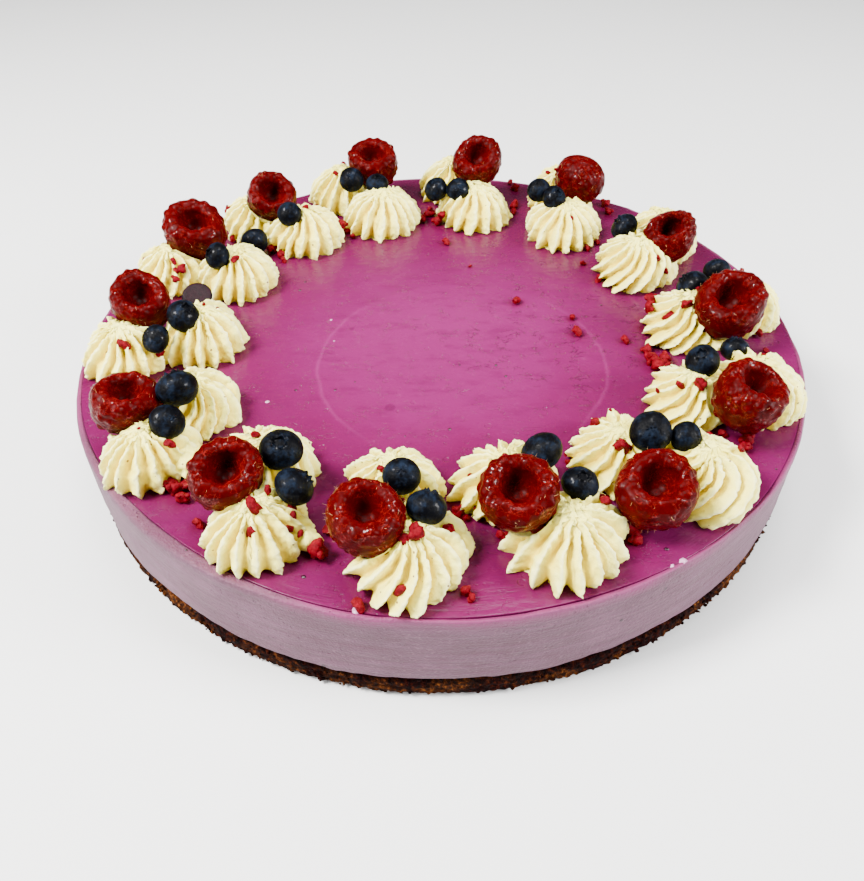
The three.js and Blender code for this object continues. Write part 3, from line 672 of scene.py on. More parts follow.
def place_rosette(at, spec, seed):
    """A copy of the rosette at its size and place, with its own twist, ragged feet, bulges and torn top."""
    out, side, radius, height, twist, flare = spec
    local = random.Random(seed)
    points = pattern_points.copy()
    round_it = np.arctan2(points[:, 1], points[:, 0])
    rise = points[:, 2].copy()
    ridge = np.floor((round_it / (2 * math.pi) * RIDGES + 0.4) % RIDGES).astype(int)
    length = np.array([local.uniform(-0.08, 0.09) for _ in range(RIDGES)])[ridge]
    droop = np.array([local.uniform(-0.09, 0.06) for _ in range(RIDGES)])[ridge]
    foot = np.clip(1 - rise / 0.42, 0, 1)
    crest = 1 - pattern_flute
    points[:, :2] *= (1 + foot * crest * (length + flare) - foot * pattern_flute * 0.6 * flare)[:, None]
    points[:, :2] *= (1 + 0.05 * np.sin(round_it * 2 + local.uniform(0, 6))
                      + 0.04 * np.sin(round_it * 3 + local.uniform(0, 6)))[:, None]
    points[:, 2] += droop * np.clip(np.hypot(points[:, 0], points[:, 1]) * 1.2, 0, 1) * np.clip(rise * 4, 0, 1)
    teeth = np.clip(1 - rise / 0.13, 0, 1)
    points[:, :2] *= (1 + teeth * (0.035 * crest - 0.02 * pattern_flute))[:, None]
    points[:, 2] -= 0.20 * pattern_flute * np.clip((rise - 0.45) / 0.3, 0, 1) * np.clip((1.02 - rise) * 8, 0, 1)
    waves = np.array([local.uniform(0, 6.28) for _ in range(RIDGES)])[ridge]
    bend = 0.05 * np.sin(3 * round_it + local.uniform(0, 6)) + 0.035 * np.sin(7 * rise + waves) * pattern_points[:, 2]
    turn = twist * rise + local.uniform(0, 6.28) + bend
    points[:, 0], points[:, 1] = (points[:, 0] * np.cos(turn) - points[:, 1] * np.sin(turn),
                                  points[:, 0] * np.sin(turn) + points[:, 1] * np.cos(turn))
    points *= [radius * MM, radius * MM, height * MM]
    tear = 0.10 + 0.34 * crest * (rise > 0.02) + 0.75 * np.clip((rise - 0.85) / 0.15, 0, 1)
    spikes = 1.1 * MM * np.clip(1 - rise / 0.2, 0, 1) * crest * lumps(points * [1, 1, 0.4], 1.3 * MM, seed + 9)
    points[:, :2] *= (1 + spikes / (radius * MM))[:, None]
    for axis in range(3):
        points[:, axis] += 0.24 * MM * pattern_edge * lumps(points, 0.55 * MM, seed + 40 * axis + 3)
        points[:, axis] += tear * MM * lumps(points, 0.9 * MM, seed + 40 * axis) * (0.6 if axis == 2 else 1)
        points[:, axis] += 0.30 * MM * lumps(points, 2.6 * MM, seed + 40 * axis + 7)
    points[:, 2] += 0.5 * MM * lumps(points * [1, 1, 0], 6 * MM, seed + 5) * np.clip(rise * 3, 0, 1)
    points[:, 2] = np.maximum(points[:, 2], 0)
    return points + np.array(on_cake(at, out, side, JELLY_TOP / MM - 0.15))


def press_in(points, place, width, height_share):
    """Cream that a berry displaces is pushed out to the berry's skin, and swells up a little round it."""
    inverse = np.array(place.inverted())
    local = points @ inverse[:3, :3].T + inverse[:3, 3]
    half = np.array([width, width, width * height_share]) / 2 * MM
    unit = local / half
    distance = np.maximum(np.linalg.norm(unit, axis=1), 1e-6)
    moved = np.where(distance < 1, 0.97 / distance, 1 + 0.06 * np.exp(-((distance - 1) / 0.12) ** 2))
    local = unit * moved[:, None] * half
    forward = np.array(place)
    return local @ forward[:3, :3].T + forward[:3, 3]


cream_finish, tree, shader = new_finish("piped whipped cream")
place = object_place(tree)
soft = cloud(tree, place, 7, 3)
colour = blend(tree, steps(tree, soft, (0.3, 0.0), (0.7, 1.0)), (0.92, 0.82, 0.13), (0.96, 0.90, 0.24))
flute_shade = tree.nodes.new("ShaderNodeAttribute")
flute_shade.attribute_name = "flute_shade"
# Painted shade: the flutes are coloured a darker, deeper yellow, as if in shadow between the ridges.
colour = blend(tree, steps(tree, flute_shade.outputs["Fac"], (0.15, 0.0), (0.9, 1.0)), colour, (0.78, 0.60, 0.035))
ridge = tree.nodes.new("ShaderNodeAttribute")
ridge.attribute_name = "painted ridge highlight"
# Painted highlight: a near-white line along each crest, as if lit.
colour = blend(tree, sums(tree, "MULTIPLY", ridge.outputs["Fac"], 0.8), colour, (1.0, 0.97, 0.52))
colour = blend(tree, specks(tree, place, 2.0, 0.28, 0.16), colour, (0.14, 0.07, 0.03))
wire(tree, shader.inputs["Base Color"], colour)
shader.inputs["Roughness"].default_value = 0.45
shader.inputs["Specular IOR Level"].default_value = 0.35
shader.inputs["Subsurface Weight"].default_value = 0.15
shader.inputs["Subsurface Radius"].default_value = (1.0, 0.8, 0.4)
shader.inputs["Subsurface Scale"].default_value = 0.0012
bumped(tree, shader, sums(tree, "ADD", cloud(tree, place, 0.5, 4, 0.65), cloud(tree, place, 1.8, 2)), 0.24)

# Torn dabs of cream beside two outer rosettes: [decoration, out, side, size].
DABS = [(0, 99, 19.5, 8.5), (13, 96, 17.5, 12)]


def torn_dab(at, out, side, size, seed):
    """A small smear of cream that the nozzle left behind."""
    bpy.ops.object.select_all(action="DESELECT")
    bpy.ops.mesh.primitive_uv_sphere_add(segments=48, ring_count=24, radius=size / 2 * MM)
    dab = bpy.context.object
    bpy.ops.object.mode_set(mode="EDIT")
    bpy.ops.transform.resize(value=(0.8, 1.25, 0.85), center_override=(0, 0, 0))
    bpy.ops.object.mode_set(mode="OBJECT")
    smooth_over(dab, 1)
    points = points_of(dab).astype(float)
    points *= (1 + 0.35 * lumps(points, 0.45 * size * MM, seed) + 0.16 * lumps(points, 1.5 * MM, seed + 1))[:, None]
    points[:, 2] = np.maximum(points[:, 2], -0.22 * size * MM)
    turn = np.array(Matrix.Rotation(math.radians(at), 3, "Z"))
    set_points(dab, points @ turn.T + np.array(on_cake(at, out, side, JELLY_TOP / MM + 0.2 * size)))
    return dab


creams = []
for index, (at, outer, inner) in enumerate(ROSETTES):
    pressed = [(RASPBERRIES[index], RASPBERRY_HEIGHT)] + [(spec, BLUEBERRY_HEIGHT) for spec in BLUEBERRIES[index]]
    if index == 12:
        pressed.append((HALF_BLUEBERRY[:3] + (12.6,) + HALF_BLUEBERRY[4:], BLUEBERRY_HEIGHT))
    pair = []
    for part, spec in enumerate((outer, inner)):
        points = place_rosette(at, spec, 10 * index + part + 1)
        for berry, share in pressed:
            points = press_in(points, berry_place(at, berry), berry[3], share)
        rosette = bpy.data.objects.new("rosette", rosette_pattern.data.copy())
        bpy.context.scene.collection.objects.link(rosette)
        set_points(rosette, points)
        pair.append(rosette)
    pair += [torn_dab(at, *dab[1:], 90 + index) for dab in DABS if dab[0] == index]
    cream = join_pieces(f"cream_rosettes_{index + 1:02d}", pair)
    cream.data.materials.clear()
    cream.data.materials.append(cream_finish)
    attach(cream, "root")
    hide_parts(f"cream_pair_{index + 1:02d}")
    creams.append(cream)
bpy.data.objects.remove(rosette_pattern)

# ---- Raspberries ----
# Fresh raspberries, hollow end up: a cup of small juicy beads in staggered rows round a smooth hollow
# with a thick rolled rim, wet with glaze, and with fine pale hairs between the beads.

# Rows of beads on a berry of radius 1: [out, height, beads in the row].
BEAD_ROWS = [(0.0, -0.80, 1), (0.28, -0.76, 6), (0.52, -0.62, 11), (0.68, -0.40, 14), (0.77, -0.14, 16),
             (0.81, 0.14, 17), (0.80, 0.40, 17), (0.76, 0.61, 15), (0.66, 0.70, 14), (0.58, 0.67, 13)]
BEAD_SIZE = 0.168
BERRY_WALL = [(0.08, -0.92), (0.36, -0.86), (0.62, -0.68), (0.80, -0.42), (0.91, -0.12), (0.945, 0.18), (0.92, 0.50),
              (0.82, 0.75), (0.68, 0.84), (0.55, 0.81), (0.46, 0.69), (0.40, 0.52), (0.34, 0.33), (0.25, 0.15), (0.12, 0.06)]
CLOSED_WALL = BERRY_WALL[:7] + [(0.76, 0.72), (0.5, 0.84), (0.2, 0.92)]
CLOSED_ROWS = BEAD_ROWS[:6] + [(0.74, 0.42, 15), (0.53, 0.64, 11), (0.27, 0.76, 6), (0.0, 0.8, 1)]


def grow_raspberry(name, seed, shape):
    """A raspberry of radius 1 in a cup shape, its beads melted together where they touch."""
    local = random.Random(seed)
    wall, rows = (CLOSED_WALL, CLOSED_ROWS) if shape == "turned over" else (BERRY_WALL, BEAD_ROWS)
    cup = turn_piece("cup", wall, 40)
    bpy.ops.object.select_all(action="DESELECT")
    bpy.ops.mesh.primitive_uv_sphere_add(segments=12, ring_count=8, radius=BEAD_SIZE)
    bead = bpy.context.object
    bead_points = points_of(bead).astype(float)
    bead_faces = [tuple(face.vertices) for face in bead.data.polygons]
    bpy.data.objects.remove(bead)
    places = []
    for row, (out, high, count) in enumerate(rows):
        for i in range(count):
            angle = 2 * math.pi * (i + row % 2 / 2 + local.uniform(-0.16, 0.16)) / count
            size = local.uniform(0.86, 1.1)
            centre = np.array([out * math.cos(angle), out * math.sin(angle), high + local.uniform(-0.05, 0.05)])
            centre[:2] *= local.uniform(0.96, 1.03)
            places.append(lambda shape, c=centre, s=size: shape * s + c)
    beads = copied_shape("beads", bead_points, bead_faces, places)
    berry = join_pieces(name, [cup, beads])
    melt = berry.modifiers.new("melt", "REMESH")
    melt.mode = "VOXEL"
    melt.voxel_size = 0.037
    even = berry.modifiers.new("even", "SMOOTH")
    even.factor = 0.5
    even.iterations = 7
    for modifier in ("melt", "even"):
        bpy.ops.object.modifier_apply(modifier=modifier)
    for face in berry.data.polygons:
        face.use_smooth = True
    points = points_of(berry).astype(float)
    inside = (np.hypot(points[:, 0], points[:, 1]) < 0.5) & (points[:, 2] > -0.2) & (shape != "turned over")
    berry.data.attributes.new("glazed", "FLOAT", "POINT").data.foreach_set("value", 1.0 - inside)
    angle = np.arctan2(points[:, 1], points[:, 0])
    points *= (1 + 0.035 * lumps(points, 0.6, seed) + 0.012 * lumps(points, 0.12, seed))[:, None]
    points[:, :2] *= (1 + 0.05 * np.sin(2 * angle + seed))[:, None]
    points[:, 2] += 0.06 * np.sin(angle + 2 * seed) * np.clip(points[:, 2], 0, 1)
    upper = np.clip((points[:, 2] + 0.3) / 1.1, 0, 1)
    if shape == "folded":
        points[:, 1] *= 1 - 0.42 * upper
        points[:, 2] += 0.15 * upper * np.sign(points[:, 1]) * np.clip(np.abs(points[:, 1]) / 0.3, 0, 1)
    if shape == "long":
        points[:, 0] *= 1.12
        points[:, 1] *= 0.9
    set_points(berry, points)
    return berry


def settle(points, place, node):
    """Carries a berry to its place and gives it the same room as its solid."""
    matrix = np.array(place)
    points = points @ matrix[:3, :3].T + matrix[:3, 3]
    low, high = (np.array(corner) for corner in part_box(node))
    lowest, highest = points.min(axis=0), points.max(axis=0)
    return (points - (lowest + highest) / 2) * (high - low) / (highest - lowest) + (low + high) / 2


def hair_shape():
    """A fine hair, thinner towards its end and a little bent, pointing up."""
    rings = [(0.03, 0.0, 0.0), (0.024, 0.4, 0.06), (0.015, 0.8, 0.22)]
    points = [(r * math.cos(2.1 * k) + bend, r * math.sin(2.1 * k), high) for r, high, bend in rings for k in range(3)]
    points.append((0.4, 0, 1.15))
    faces = [(3 * r + k, 3 * r + (k + 1) % 3, 3 * r + 3 + (k + 1) % 3, 3 * r + 3 + k)
             for r in range(2) for k in range(3)] + [(6, 7, 9), (7, 8, 9), (8, 6, 9)]
    return np.array(points), faces


raspberry_finish, tree, shader = new_finish("glazed raspberry skin")
place = object_place(tree)
patch = cloud(tree, place, 5, 3)
colour = steps(tree, patch, (0.3, (0.028, 0.0001, 0.0003)), (0.7, (0.053, 0.0002, 0.0006)))
# Painted shade: the skin is darker where it curves inwards, in the creases between the beads.
pointy = tree.nodes.new("ShaderNodeNewGeometry").outputs["Pointiness"]
colour = blend(tree, steps(tree, pointy, (0.42, 1.0), (0.485, 0.0)), colour, (0.014, 0.0001, 0.0001))
wire(tree, shader.inputs["Roughness"], steps(tree, cloud(tree, place, 1.2, 3), (0.3, 0.25), (0.7, 0.45)))
shader.inputs["Specular IOR Level"].default_value = 0.025
glint_squiggles = steps(tree, cloud(tree, place, 1.7, 3, 0.6), (0.465, 0.0), (0.482, 1.0), (0.492, 1.0), (0.51, 0.0))
glint_squiggles = sums(tree, "MULTIPLY", glint_squiggles, steps(tree, cloud(tree, place, 3.8, 2), (0.45, 0.0), (0.56, 1.0)))
# Painted highlight: thin bright red glints are mixed into the base colour along these lines; the same lines set where
# the coat lies.
wire(tree, shader.inputs["Base Color"], blend(tree, sums(tree, "MULTIPLY", glint_squiggles, 0.4), colour, (0.3, 0.012, 0.008)))
glazed = tree.nodes.new("ShaderNodeAttribute")
glazed.attribute_name = "glazed"
wire(tree, shader.inputs["Coat Weight"], sums(tree, "MULTIPLY", sums(tree, "MULTIPLY", glint_squiggles, 0.6), glazed.outputs["Fac"]))
shader.inputs["Coat Roughness"].default_value = 0.04
shader.inputs["Subsurface Weight"].default_value = 0.6
shader.inputs["Subsurface Radius"].default_value = (1.0, 0.2, 0.15)
shader.inputs["Subsurface Scale"].default_value = 0.003
bumped(tree, shader, sums(tree, "ADD", sums(tree, "MULTIPLY", glint_squiggles, 0.35), cloud(tree, place, 1.6, 3)), 0.14)

hair_finish, tree, shader = new_finish("pale berry hair")
shade = cloud(tree, object_place(tree), 2, 2)
wire(tree, shader.inputs["Base Color"], steps(tree, shade, (0.3, (0.55, 0.3, 0.1)), (0.7, (0.8, 0.5, 0.22))))
shader.inputs["Roughness"].default_value = 0.5

hair_points, hair_faces = hair_shape()
BERRY_SHAPES = {4: "long", 6: "folded", 7: "turned over", 11: "long"}
raspberries = []
for index, spec in enumerate(RASPBERRIES):
    berry = grow_raspberry(f"glazed_raspberry_{index + 1:02d}", index, BERRY_SHAPES.get(index, "round"))
    half = spec[3] / 2 * MM
    turn = Matrix.Rotation(index * 1.7 if index != 6 else 0.0, 4, "Z")
    points = points_of(berry).astype(float) * half
    points[:, 2] *= RASPBERRY_HEIGHT / 0.95
    node = f"raspberry_{index + 1:02d}"
    set_points(berry, settle(points, berry_place(ROSETTES[index][0], spec) @ turn, node))
    roots = random.Random(300 + index)
    grown = [berry.data.vertices[roots.randrange(len(berry.data.vertices))] for _ in range(60)]
    middle = sum((v.co for v in berry.data.vertices), Vector()) / len(berry.data.vertices)
    places = []
    for vertex in grown:
        if vertex.normal.dot(vertex.co - middle) < 0.3 * half:
            continue
        lean = (vertex.normal + 0.7 * Vector([roots.uniform(-1, 1) for _ in range(3)])).normalized()
        turned = lean.to_track_quat("Z", "X").to_matrix()
        long = roots.uniform(0.6, 1.3) * MM
        places.append(lambda shape, m=np.array(turned), c=np.array(vertex.co), s=long: shape @ m.T * s + c)
    hairs = copied_shape("hairs", hair_points, hair_faces, places)
    berry.data.materials.clear()
    berry.data.materials.append(raspberry_finish)
    hairs.data.materials.append(hair_finish)
    berry = join_pieces(berry.name, [berry, hairs])
    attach(berry, "root")
    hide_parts(node)
    raspberries.append(berry)

# ---- Blueberries ----
# Ripe blueberries, nearly black under a thin grey-blue bloom that is rubbed away in places. Each has
# a crown of five short flaps round a small sunken disc at one end. One is cut in half.


def model_blueberry(crown_size, crown_height):
    """One blueberry of radius 1: a ball, pressed flat, with a sunken disc and a crown or ring at the top."""
    bpy.ops.object.select_all(action="DESELECT")
    bpy.ops.mesh.primitive_uv_sphere_add(segments=40, ring_count=28, radius=1)
    berry = bpy.context.object
    bpy.ops.object.mode_set(mode="EDIT")
    bpy.ops.transform.resize(value=(1, 1, BLUEBERRY_HEIGHT), center_override=(0, 0, 0))
    bpy.ops.mesh.select_mode(type="FACE")
    work = bmesh.from_edit_mesh(berry.data)
    bpy.ops.mesh.select_all(action="DESELECT")
    for face in work.faces:
        centre = face.calc_center_median()
        face.select_set(centre.z > 0 and math.hypot(centre.x, centre.y) < crown_size)
    bmesh.update_edit_mesh(berry.data)
    for inset, lift in ((0.04, 0.8), (0.035, -1.4), (0.04, -1.0)):
        bpy.ops.mesh.inset(thickness=inset)
        bpy.ops.transform.translate(value=(0, 0, lift * crown_height))
    bpy.ops.object.mode_set(mode="OBJECT")
    smooth_over(berry, 1)
    points = points_of(berry).astype(float)
    angle = np.arctan2(points[:, 1], points[:, 0])
    out = np.hypot(points[:, 0], points[:, 1])
    crown = np.exp(-((out - crown_size) / 0.06) ** 2) * (points[:, 2] > 0)
    points[:, 2] += crown * 0.8 * crown_height * np.cos(5 * angle + 0.8 * np.sin(2 * angle))
    points[:, :2] *= (1 + 1.2 * crown_height * crown * np.cos(5 * angle))[:, None]
    set_points(berry, points)
    return berry


blueberry_finish, tree, shader = new_finish("blueberry skin with bloom")
place = object_place(tree)
bloom = steps(tree, cloud(tree, place, 3.5, 4, 0.65), (0.46, 0.0), (0.7, 1.0))
rubbed = steps(tree, cloud(tree, object_place(tree, (1, 0.25, 1)), 0.9, 3), (0.5, 1.0), (0.62, 0.35))
bloom = sums(tree, "MULTIPLY", bloom, rubbed)
wire(tree, shader.inputs["Base Color"], blend(tree, bloom, (0.0004, 0.0005, 0.0012), (0.0052, 0.0100, 0.0215)))
wire(tree, shader.inputs["Roughness"], steps(tree, bloom, (0.0, 0.5), (1.0, 0.75)))
shader.inputs["Specular IOR Level"].default_value = 0.045
wire(tree, shader.inputs["Coat Weight"], steps(tree, cloud(tree, place, 1.6, 3), (0.52, 0.0), (0.62, 0.12)))
shader.inputs["Coat Roughness"].default_value = 0.2
bumped(tree, shader, sums(tree, "ADD", cloud(tree, place, 0.8, 3), sums(tree, "MULTIPLY", rubbed, 0.6)), 0.12)

crowned_berry, scarred_berry = model_blueberry(0.3, 0.09), model_blueberry(0.16, 0.035)
SCARRED = {(1, 0), (2, 0), (3, 0), (3, 1), (5, 1), (7, 0), (8, 1), (9, 0), (10, 0), (12, 1), (13, 1)}
blueberries = []
for index, specs in enumerate(BLUEBERRIES):
    for number, spec in enumerate(specs):
        pattern = scarred_berry if (index, number) in SCARRED else crowned_berry
        berry = bpy.data.objects.new(f"fresh_blueberry_{index + 1:02d}_{number + 1}", pattern.data.copy())
        bpy.context.scene.collection.objects.link(berry)
        points = points_of(berry).astype(float) * spec[3] / 2 * MM
        points *= (1 + 0.05 * lumps(points, 4 * MM, index * 3 + number) + 0.006 * lumps(points, 0.9 * MM, index))[:, None]
        turned = berry_place(ROSETTES[index][0], spec) @ Matrix.Rotation(index + number, 4, "Z")
        set_points(berry, settle(points, turned, f"blueberry_{index + 1:02d}_{number + 1}"))
        berry.data.materials.clear()
        berry.data.materials.append(blueberry_finish)
        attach(berry, "root")
        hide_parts(f"blueberry_{index + 1:02d}_{number + 1}")
        blueberries.append(berry)
bpy.data.objects.remove(crowned_berry)
bpy.data.objects.remove(scarred_berry)

half_berry = turn_piece("cut_blueberry", [(0.1, -0.82), (0.6, -0.7), (0.92, -0.35), (1, -0.02), (0.95, 0.07),
                                          (0.8, 0.09), (0.4, 0.07)], 32)
smooth_over(half_berry, 1)
CUT_FACE = [face.index for face in half_berry.data.polygons
            if face.center.z > 0.02 and math.hypot(face.center.x, face.center.y) < 0.9]
points = points_of(half_berry).astype(float) * HALF_BLUEBERRY[3] / 2 * MM
place = np.array(berry_place(ROSETTES[12][0], HALF_BLUEBERRY))
set_points(half_berry, points @ place[:3, :3].T + place[:3, 3])
cut_finish, tree, shader = new_finish("cut blueberry flesh")
place = object_place(tree)
flesh = steps(tree, cloud(tree, place, 1.6, 3), (0.3, (0.0035, 0.0006, 0.0014)), (0.7, (0.015, 0.0032, 0.0062)))
wire(tree, shader.inputs["Base Color"], flesh)
shader.inputs["Roughness"].default_value = 0.4
shader.inputs["Specular IOR Level"].default_value = 0.08
bumped(tree, shader, cloud(tree, place, 0.5, 3), 0.15)
half_berry.data.materials.clear()
half_berry.data.materials.append(blueberry_finish)
half_berry.data.materials.append(cut_finish)
for number in CUT_FACE:
    half_berry.data.polygons[number].material_index = 1
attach(half_berry, "root")
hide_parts("half_blueberry_13")

# ---- Freeze-dried raspberry ----
# Crumbled freeze-dried raspberry, bright red, dry and angular, strewn over the decorations: single
# beads, broken flakes and clumps of a few beads, which stain the jelly round them.

# Where each bit is seen from the camera, in pixels of an 864 x 881 picture: [across, down, size in mm].
FLAKES = [
    (256, 436, 2.6), (267, 492, 2.4), (255, 509, 4.2), (248, 532, 3.2), (291, 506, 3), (293, 514, 2.6), (291, 527, 2.8),
    (302, 534, 2), (139, 429, 1), (169, 444, 3), (199, 526, 3), (382, 471, 2.2), (446, 528, 3), (397, 588, 3.4),
    (459, 512, 2.8), (467, 520, 2.4), (448, 527, 2.6), (502, 538, 3), (476, 507, 1.2), (604, 504, 3), (600, 498, 2.2),
    (599, 424, 3.6), (610, 411, 1), (566, 454, 1.2), (722, 436, 2.8), (681, 383, 2.8), (658, 391, 1.6), (625, 342, 3),
    (577, 334, 3.8), (572, 319, 2.6), (516, 303, 3.6), (446, 244, 3.2), (470, 267, 1.4), (571, 218, 2.2), (583, 265, 2.6),
    (587, 250, 3), (597, 244, 2.6), (598, 281, 3), (664, 271, 2.6), (657, 260, 3.6), (553, 162, 3), (558, 170, 2),
    (548, 172, 2), (640, 207, 3), (648, 202, 2.2), (735, 267, 2.6), (760, 332, 3), (330, 161, 3.8), (336, 175, 2.4),
    (304, 207, 2.6), (229, 208, 3), (222, 212, 2), (232, 236, 3), (237, 259, 3), (174, 262, 2.4), (176, 270, 2),
    (204, 304, 1.6), (120, 345, 4), (159, 354, 2.6), (466, 594, 3.6), (471, 600, 2.4), (359, 608, 3.6), (765, 352, 2.2),
    (740, 450, 2.2), (284, 262, 2.6), (352, 235, 2.8), (318, 205, 2), (510, 184, 3), (513, 214, 3.2), (516, 204, 2.4),
]
CLUMPS = [
    (165, 484, 5), (176, 492, 5), (184, 501, 4.4), (187, 489, 4), (316, 545, 5.6), (318, 556, 4.2), (413, 530, 4.6),
    (404, 542, 4.8), (459, 516, 4.6), (540, 531, 5), (625, 448, 5), (632, 534, 5), (635, 542, 4), (746, 442, 5),
    (745, 450, 4), (701, 384, 4.6), (650, 362, 5), (658, 368, 5.6), (664, 361, 4.4), (646, 352, 3.8), (655, 298, 5),
    (650, 305, 4), (514, 208, 4.4), (515, 190, 4), (605, 206, 4.4), (608, 214, 4), (430, 216, 5), (438, 224, 5),
    (422, 222, 4.4), (441, 214, 4), (340, 225, 4.6), (347, 230, 3.6), (276, 250, 5), (282, 257, 4.4), (185, 270, 4.8),
    (177, 279, 3.6), (688, 306, 4), (270, 246, 3.6),
]
HIDDEN_BITS = 60
PIXELS_ACROSS_LENS = 32.69 / 36 * 881


def ray_hit(carriers, start, direction):
    """The nearest place where a straight line meets one of the pieces: (piece, place, normal)."""
    nearest = None
    for carrier in carriers:
        found, spot, normal, _ = carrier.ray_cast(start, direction)
        if found and (nearest is None or (spot - start).length < (nearest[1] - start).length):
            nearest = carrier, spot, normal
    return nearest


def seen_spot(carriers, across, down):
    ray = Vector(((across - 432) / PIXELS_ACROSS_LENS, (440.5 - down) / PIXELS_ACROSS_LENS, -1)).normalized()
    return ray_hit(carriers, CAMERA_PLACE, camera.matrix_world.to_3x3() @ ray)


def rest_bit(spot, normal, size, sunk):
    """A way to lay a bit on a surface: turned at random, and sunk into it by a share of its size."""
    turn = Matrix.Rotation(chance.uniform(0, 6.28), 3, Vector((chance.uniform(-1, 1), chance.uniform(-1, 1), 1)))
    centre = np.array(spot + normal * size * MM * (0.5 - sunk))
    return lambda shape, m=np.array(turn), c=centre, s=size: shape @ m.T * s + c


def clump_shape(seed):
    """A clump of size 1: a broken piece of berry with a few whole beads still on it."""
    points, faces = lump_shape(0.85, 0.7, seed, detail=2)
    bead, bead_faces = lump_shape(0.42, 0.25, seed + 1, detail=2)
    for part in ((0.3, 0.12, 0.1), (-0.24, 0.2, 0.14), (0.05, -0.3, 0.12)):
        faces = faces + [tuple(i + len(points) for i in face) for face in bead_faces]
        points = np.concatenate([points, bead + np.array(part) * MM])
    return points, faces


bpy.context.view_layer.update()
carriers = [jelly, filling] + creams + raspberries + blueberries
flake_points, flake_faces = lump_shape(1, 0.75, 21, detail=2)
clump_points, clump_faces = clump_shape(8)
flakes, clumps, stains = [], [], []
for bits, spots in ((flakes, FLAKES), (clumps, CLUMPS)):
    for across, down, size in spots:
        hit = seen_spot(carriers, across, down)
        if hit:
            bits.append(rest_bit(hit[1], hit[2], size, 0.2))
            if hit[0] is jelly or bits is clumps:
                stains.append((hit[1].x, hit[1].y, size))
placed = 0
while placed < HIDDEN_BITS:
    angle, out = chance.uniform(0, 2 * math.pi), chance.uniform(74, 114) * MM
    hit = ray_hit([jelly] + creams, Vector((out * math.cos(angle), out * math.sin(angle), 0.09)), Vector((0, 0, -1)))
    across = (hit[1] - CAMERA_PLACE).normalized()
    seen = ray_hit(carriers, CAMERA_PLACE, across)
    if seen and (seen[1] - CAMERA_PLACE).length < (hit[1] - CAMERA_PLACE).length - 3 * MM:
        flakes.append(rest_bit(hit[1], hit[2], chance.uniform(1.8, 3.8), 0.2))
        placed += 1
dried_flakes = copied_shape("dried_raspberry_flakes", flake_points, flake_faces, flakes)
dried_clumps = copied_shape("dried_raspberry_clumps", clump_points, clump_faces, clumps)
dried_flakes.data.polygons.foreach_set("use_smooth", [False] * len(dried_flakes.data.polygons))
dried_finish, tree, shader = new_finish("freeze-dried raspberry")
place = object_place(tree)
wire(tree, shader.inputs["Base Color"], steps(tree, cloud(tree, place, 1.2, 4, 0.6), (0.3, (0.06, 0.0002, 0.0018)),
                                              (0.6, (0.14, 0.0004, 0.0055)), (0.78, (0.27, 0.0015, 0.02))))
shader.inputs["Roughness"].default_value = 0.45
shader.inputs["Specular IOR Level"].default_value = 0.05
bumped(tree, shader, cloud(tree, place, 0.6, 4, 0.7), 0.3)
for bits in (dried_flakes, dried_clumps):
    bits.data.materials.append(dried_finish)
    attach(bits, "root")
    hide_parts("jelly_top")

points = points_of(jelly).astype(float)
stained = np.zeros(len(points))
for x, y, size in stains:
    away = np.hypot(points[:, 0] - x, points[:, 1] - y) / (0.75 * size * MM)
    stained = np.maximum(stained, np.exp(-away ** 2 + 0.4 * lumps(points, 2 * MM, 60)))
# How near each point of the jelly lies to the foot of a rosette, for the shade painted round the cream.
cream_foot_shade = np.zeros(len(points))
for at, outer, inner in ROSETTES:
    for rosette in (outer, inner):
        foot = on_cake(at, rosette[0], rosette[1], 0)
        away = np.hypot(points[:, 0] - foot.x, points[:, 1] - foot.y) - rosette[2] * MM
        cream_foot_shade = np.maximum(cream_foot_shade, np.exp(-np.maximum(away + 2 * MM * lumps(points, 6 * MM, 61), 0) / (4.5 * MM)))
jelly.data.attributes.new("shade round cream", "FLOAT", "POINT").data.foreach_set("value", cream_foot_shade.astype(np.float32))
jelly.data.attributes.new("stain", "FLOAT", "POINT").data.foreach_set(
    "value", np.clip(stained, 0, 1).astype(np.float32))

# Flecks of dark fruit skin in the jelly and a few pale chips on it: [across, down, size].
SKIN_FLECKS = [(450, 429, 1.3), (460, 365, 0.9), (496, 365, 1.3), (506, 376, 1.2), (667, 549, 1.4), (296, 390, 1.1),
               (335, 390, 1.1), (776, 469, 0.9), (186, 550, 1), (304, 577, 1.5), (601, 305, 1.2), (305, 282, 1.4),
               (355, 382, 0.8), (405, 436, 0.7), (560, 291, 0.8), (300, 290, 1.6), (350, 275, 0.8), (640, 470, 0.8)]
PALE_CHIPS = [(331, 320, 1.1), (334, 341, 0.8), (267, 402, 1.6), (682, 561, 2.6), (356, 611, 2.4), (672, 566, 1.4)]
fleck_points, fleck_faces = lump_shape(1, 0.6, 33, detail=1)
fleck_points = fleck_points * np.array([1, 1, 0.35])


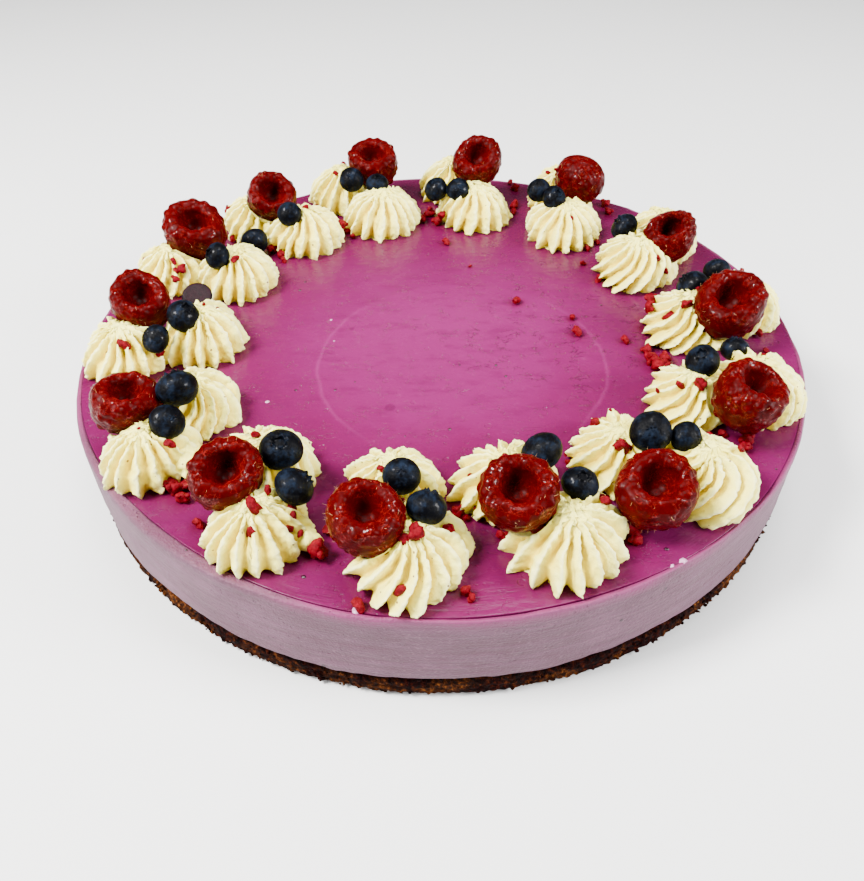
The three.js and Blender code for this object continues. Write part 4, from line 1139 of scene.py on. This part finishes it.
def jelly_spots(name, spots, colours):
    laid = []
    for across, down, size in spots:
        hit = seen_spot([jelly, filling], across, down)
        turn = np.array(Matrix.Rotation(chance.uniform(0, 6.28), 3, "Z"))
        laid.append(lambda shape, m=turn, c=np.array(hit[1]), s=size: shape @ m.T * s + c)
    piece = copied_shape(name, fleck_points, fleck_faces, laid)
    finish, tree, shader = new_finish(name.replace("_", " "))
    wire(tree, shader.inputs["Base Color"], steps(tree, cloud(tree, object_place(tree), 0.5, 3), *colours))
    shader.inputs["Roughness"].default_value = 0.35
    piece.data.materials.append(finish)
    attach(piece, "root")
    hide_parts("jelly_top")


jelly_spots("dark_fruit_skin_flecks", SKIN_FLECKS, ((0.3, (0.012, 0.001, 0.005)), (0.7, (0.03, 0.002, 0.012))))
jelly_spots("pale_jelly_chips", PALE_CHIPS, ((0.3, (0.36, 0.12, 0.25)), (0.7, (0.6, 0.34, 0.47))))

# ---- Studio ----
# A plain pale floor and soft light: a key box high on the left, a wider one overhead and behind, a box
# low on each side of the camera, and a dim card far behind that gives the jelly its sheen.

bpy.ops.object.select_all(action="DESELECT")
bpy.ops.mesh.primitive_plane_add(size=6, location=(0, 0, -0.0005))
floor = bpy.context.object
floor.name = "floor"
floor_finish, tree, shader = new_finish("pale floor")
shader.inputs["Base Color"].default_value = (0.7, 0.7, 0.7, 1)
shader.inputs["Roughness"].default_value = 0.8
floor.data.materials.append(floor_finish)


def soft_box(name, place, aim, size, power, colour=(1, 1, 1)):
    data = bpy.data.lights.new(name, "AREA")
    data.shape = "RECTANGLE"
    data.size, data.size_y = size
    data.energy = power
    data.color = colour
    lamp = bpy.data.objects.new(name, data)
    bpy.context.scene.collection.objects.link(lamp)
    lamp.location = place
    lamp.rotation_euler = (Vector(aim) - Vector(place)).to_track_quat("-Z", "Y").to_euler()
    return lamp


soft_box("key_box", (-0.48, -0.14, 0.68), (0, 0, 0.03), (0.26, 0.26), 28, (1, 0.985, 0.96))
soft_box("top_box", (0.12, 0.12, 0.95), (0, 0, 0.03), (0.4, 0.4), 11)
soft_box("right_box", (0.68, -0.22, 0.4), (0, 0, 0.02), (0.3, 0.3), 17)
soft_box("left_box", (-0.62, -0.36, 0.36), (0, 0, 0.02), (0.3, 0.3), 5)
soft_box("sheen_card", (0, 0.72, 0.55), (0, 0, 0.03), (0.8, 0.4), 0.2)

world = bpy.data.worlds.new("studio")
bpy.context.scene.world = world
world.use_nodes = True
world.node_tree.nodes["Background"].inputs["Color"].default_value = (1, 1, 1, 1)
world.node_tree.nodes["Background"].inputs["Strength"].default_value = 0.18
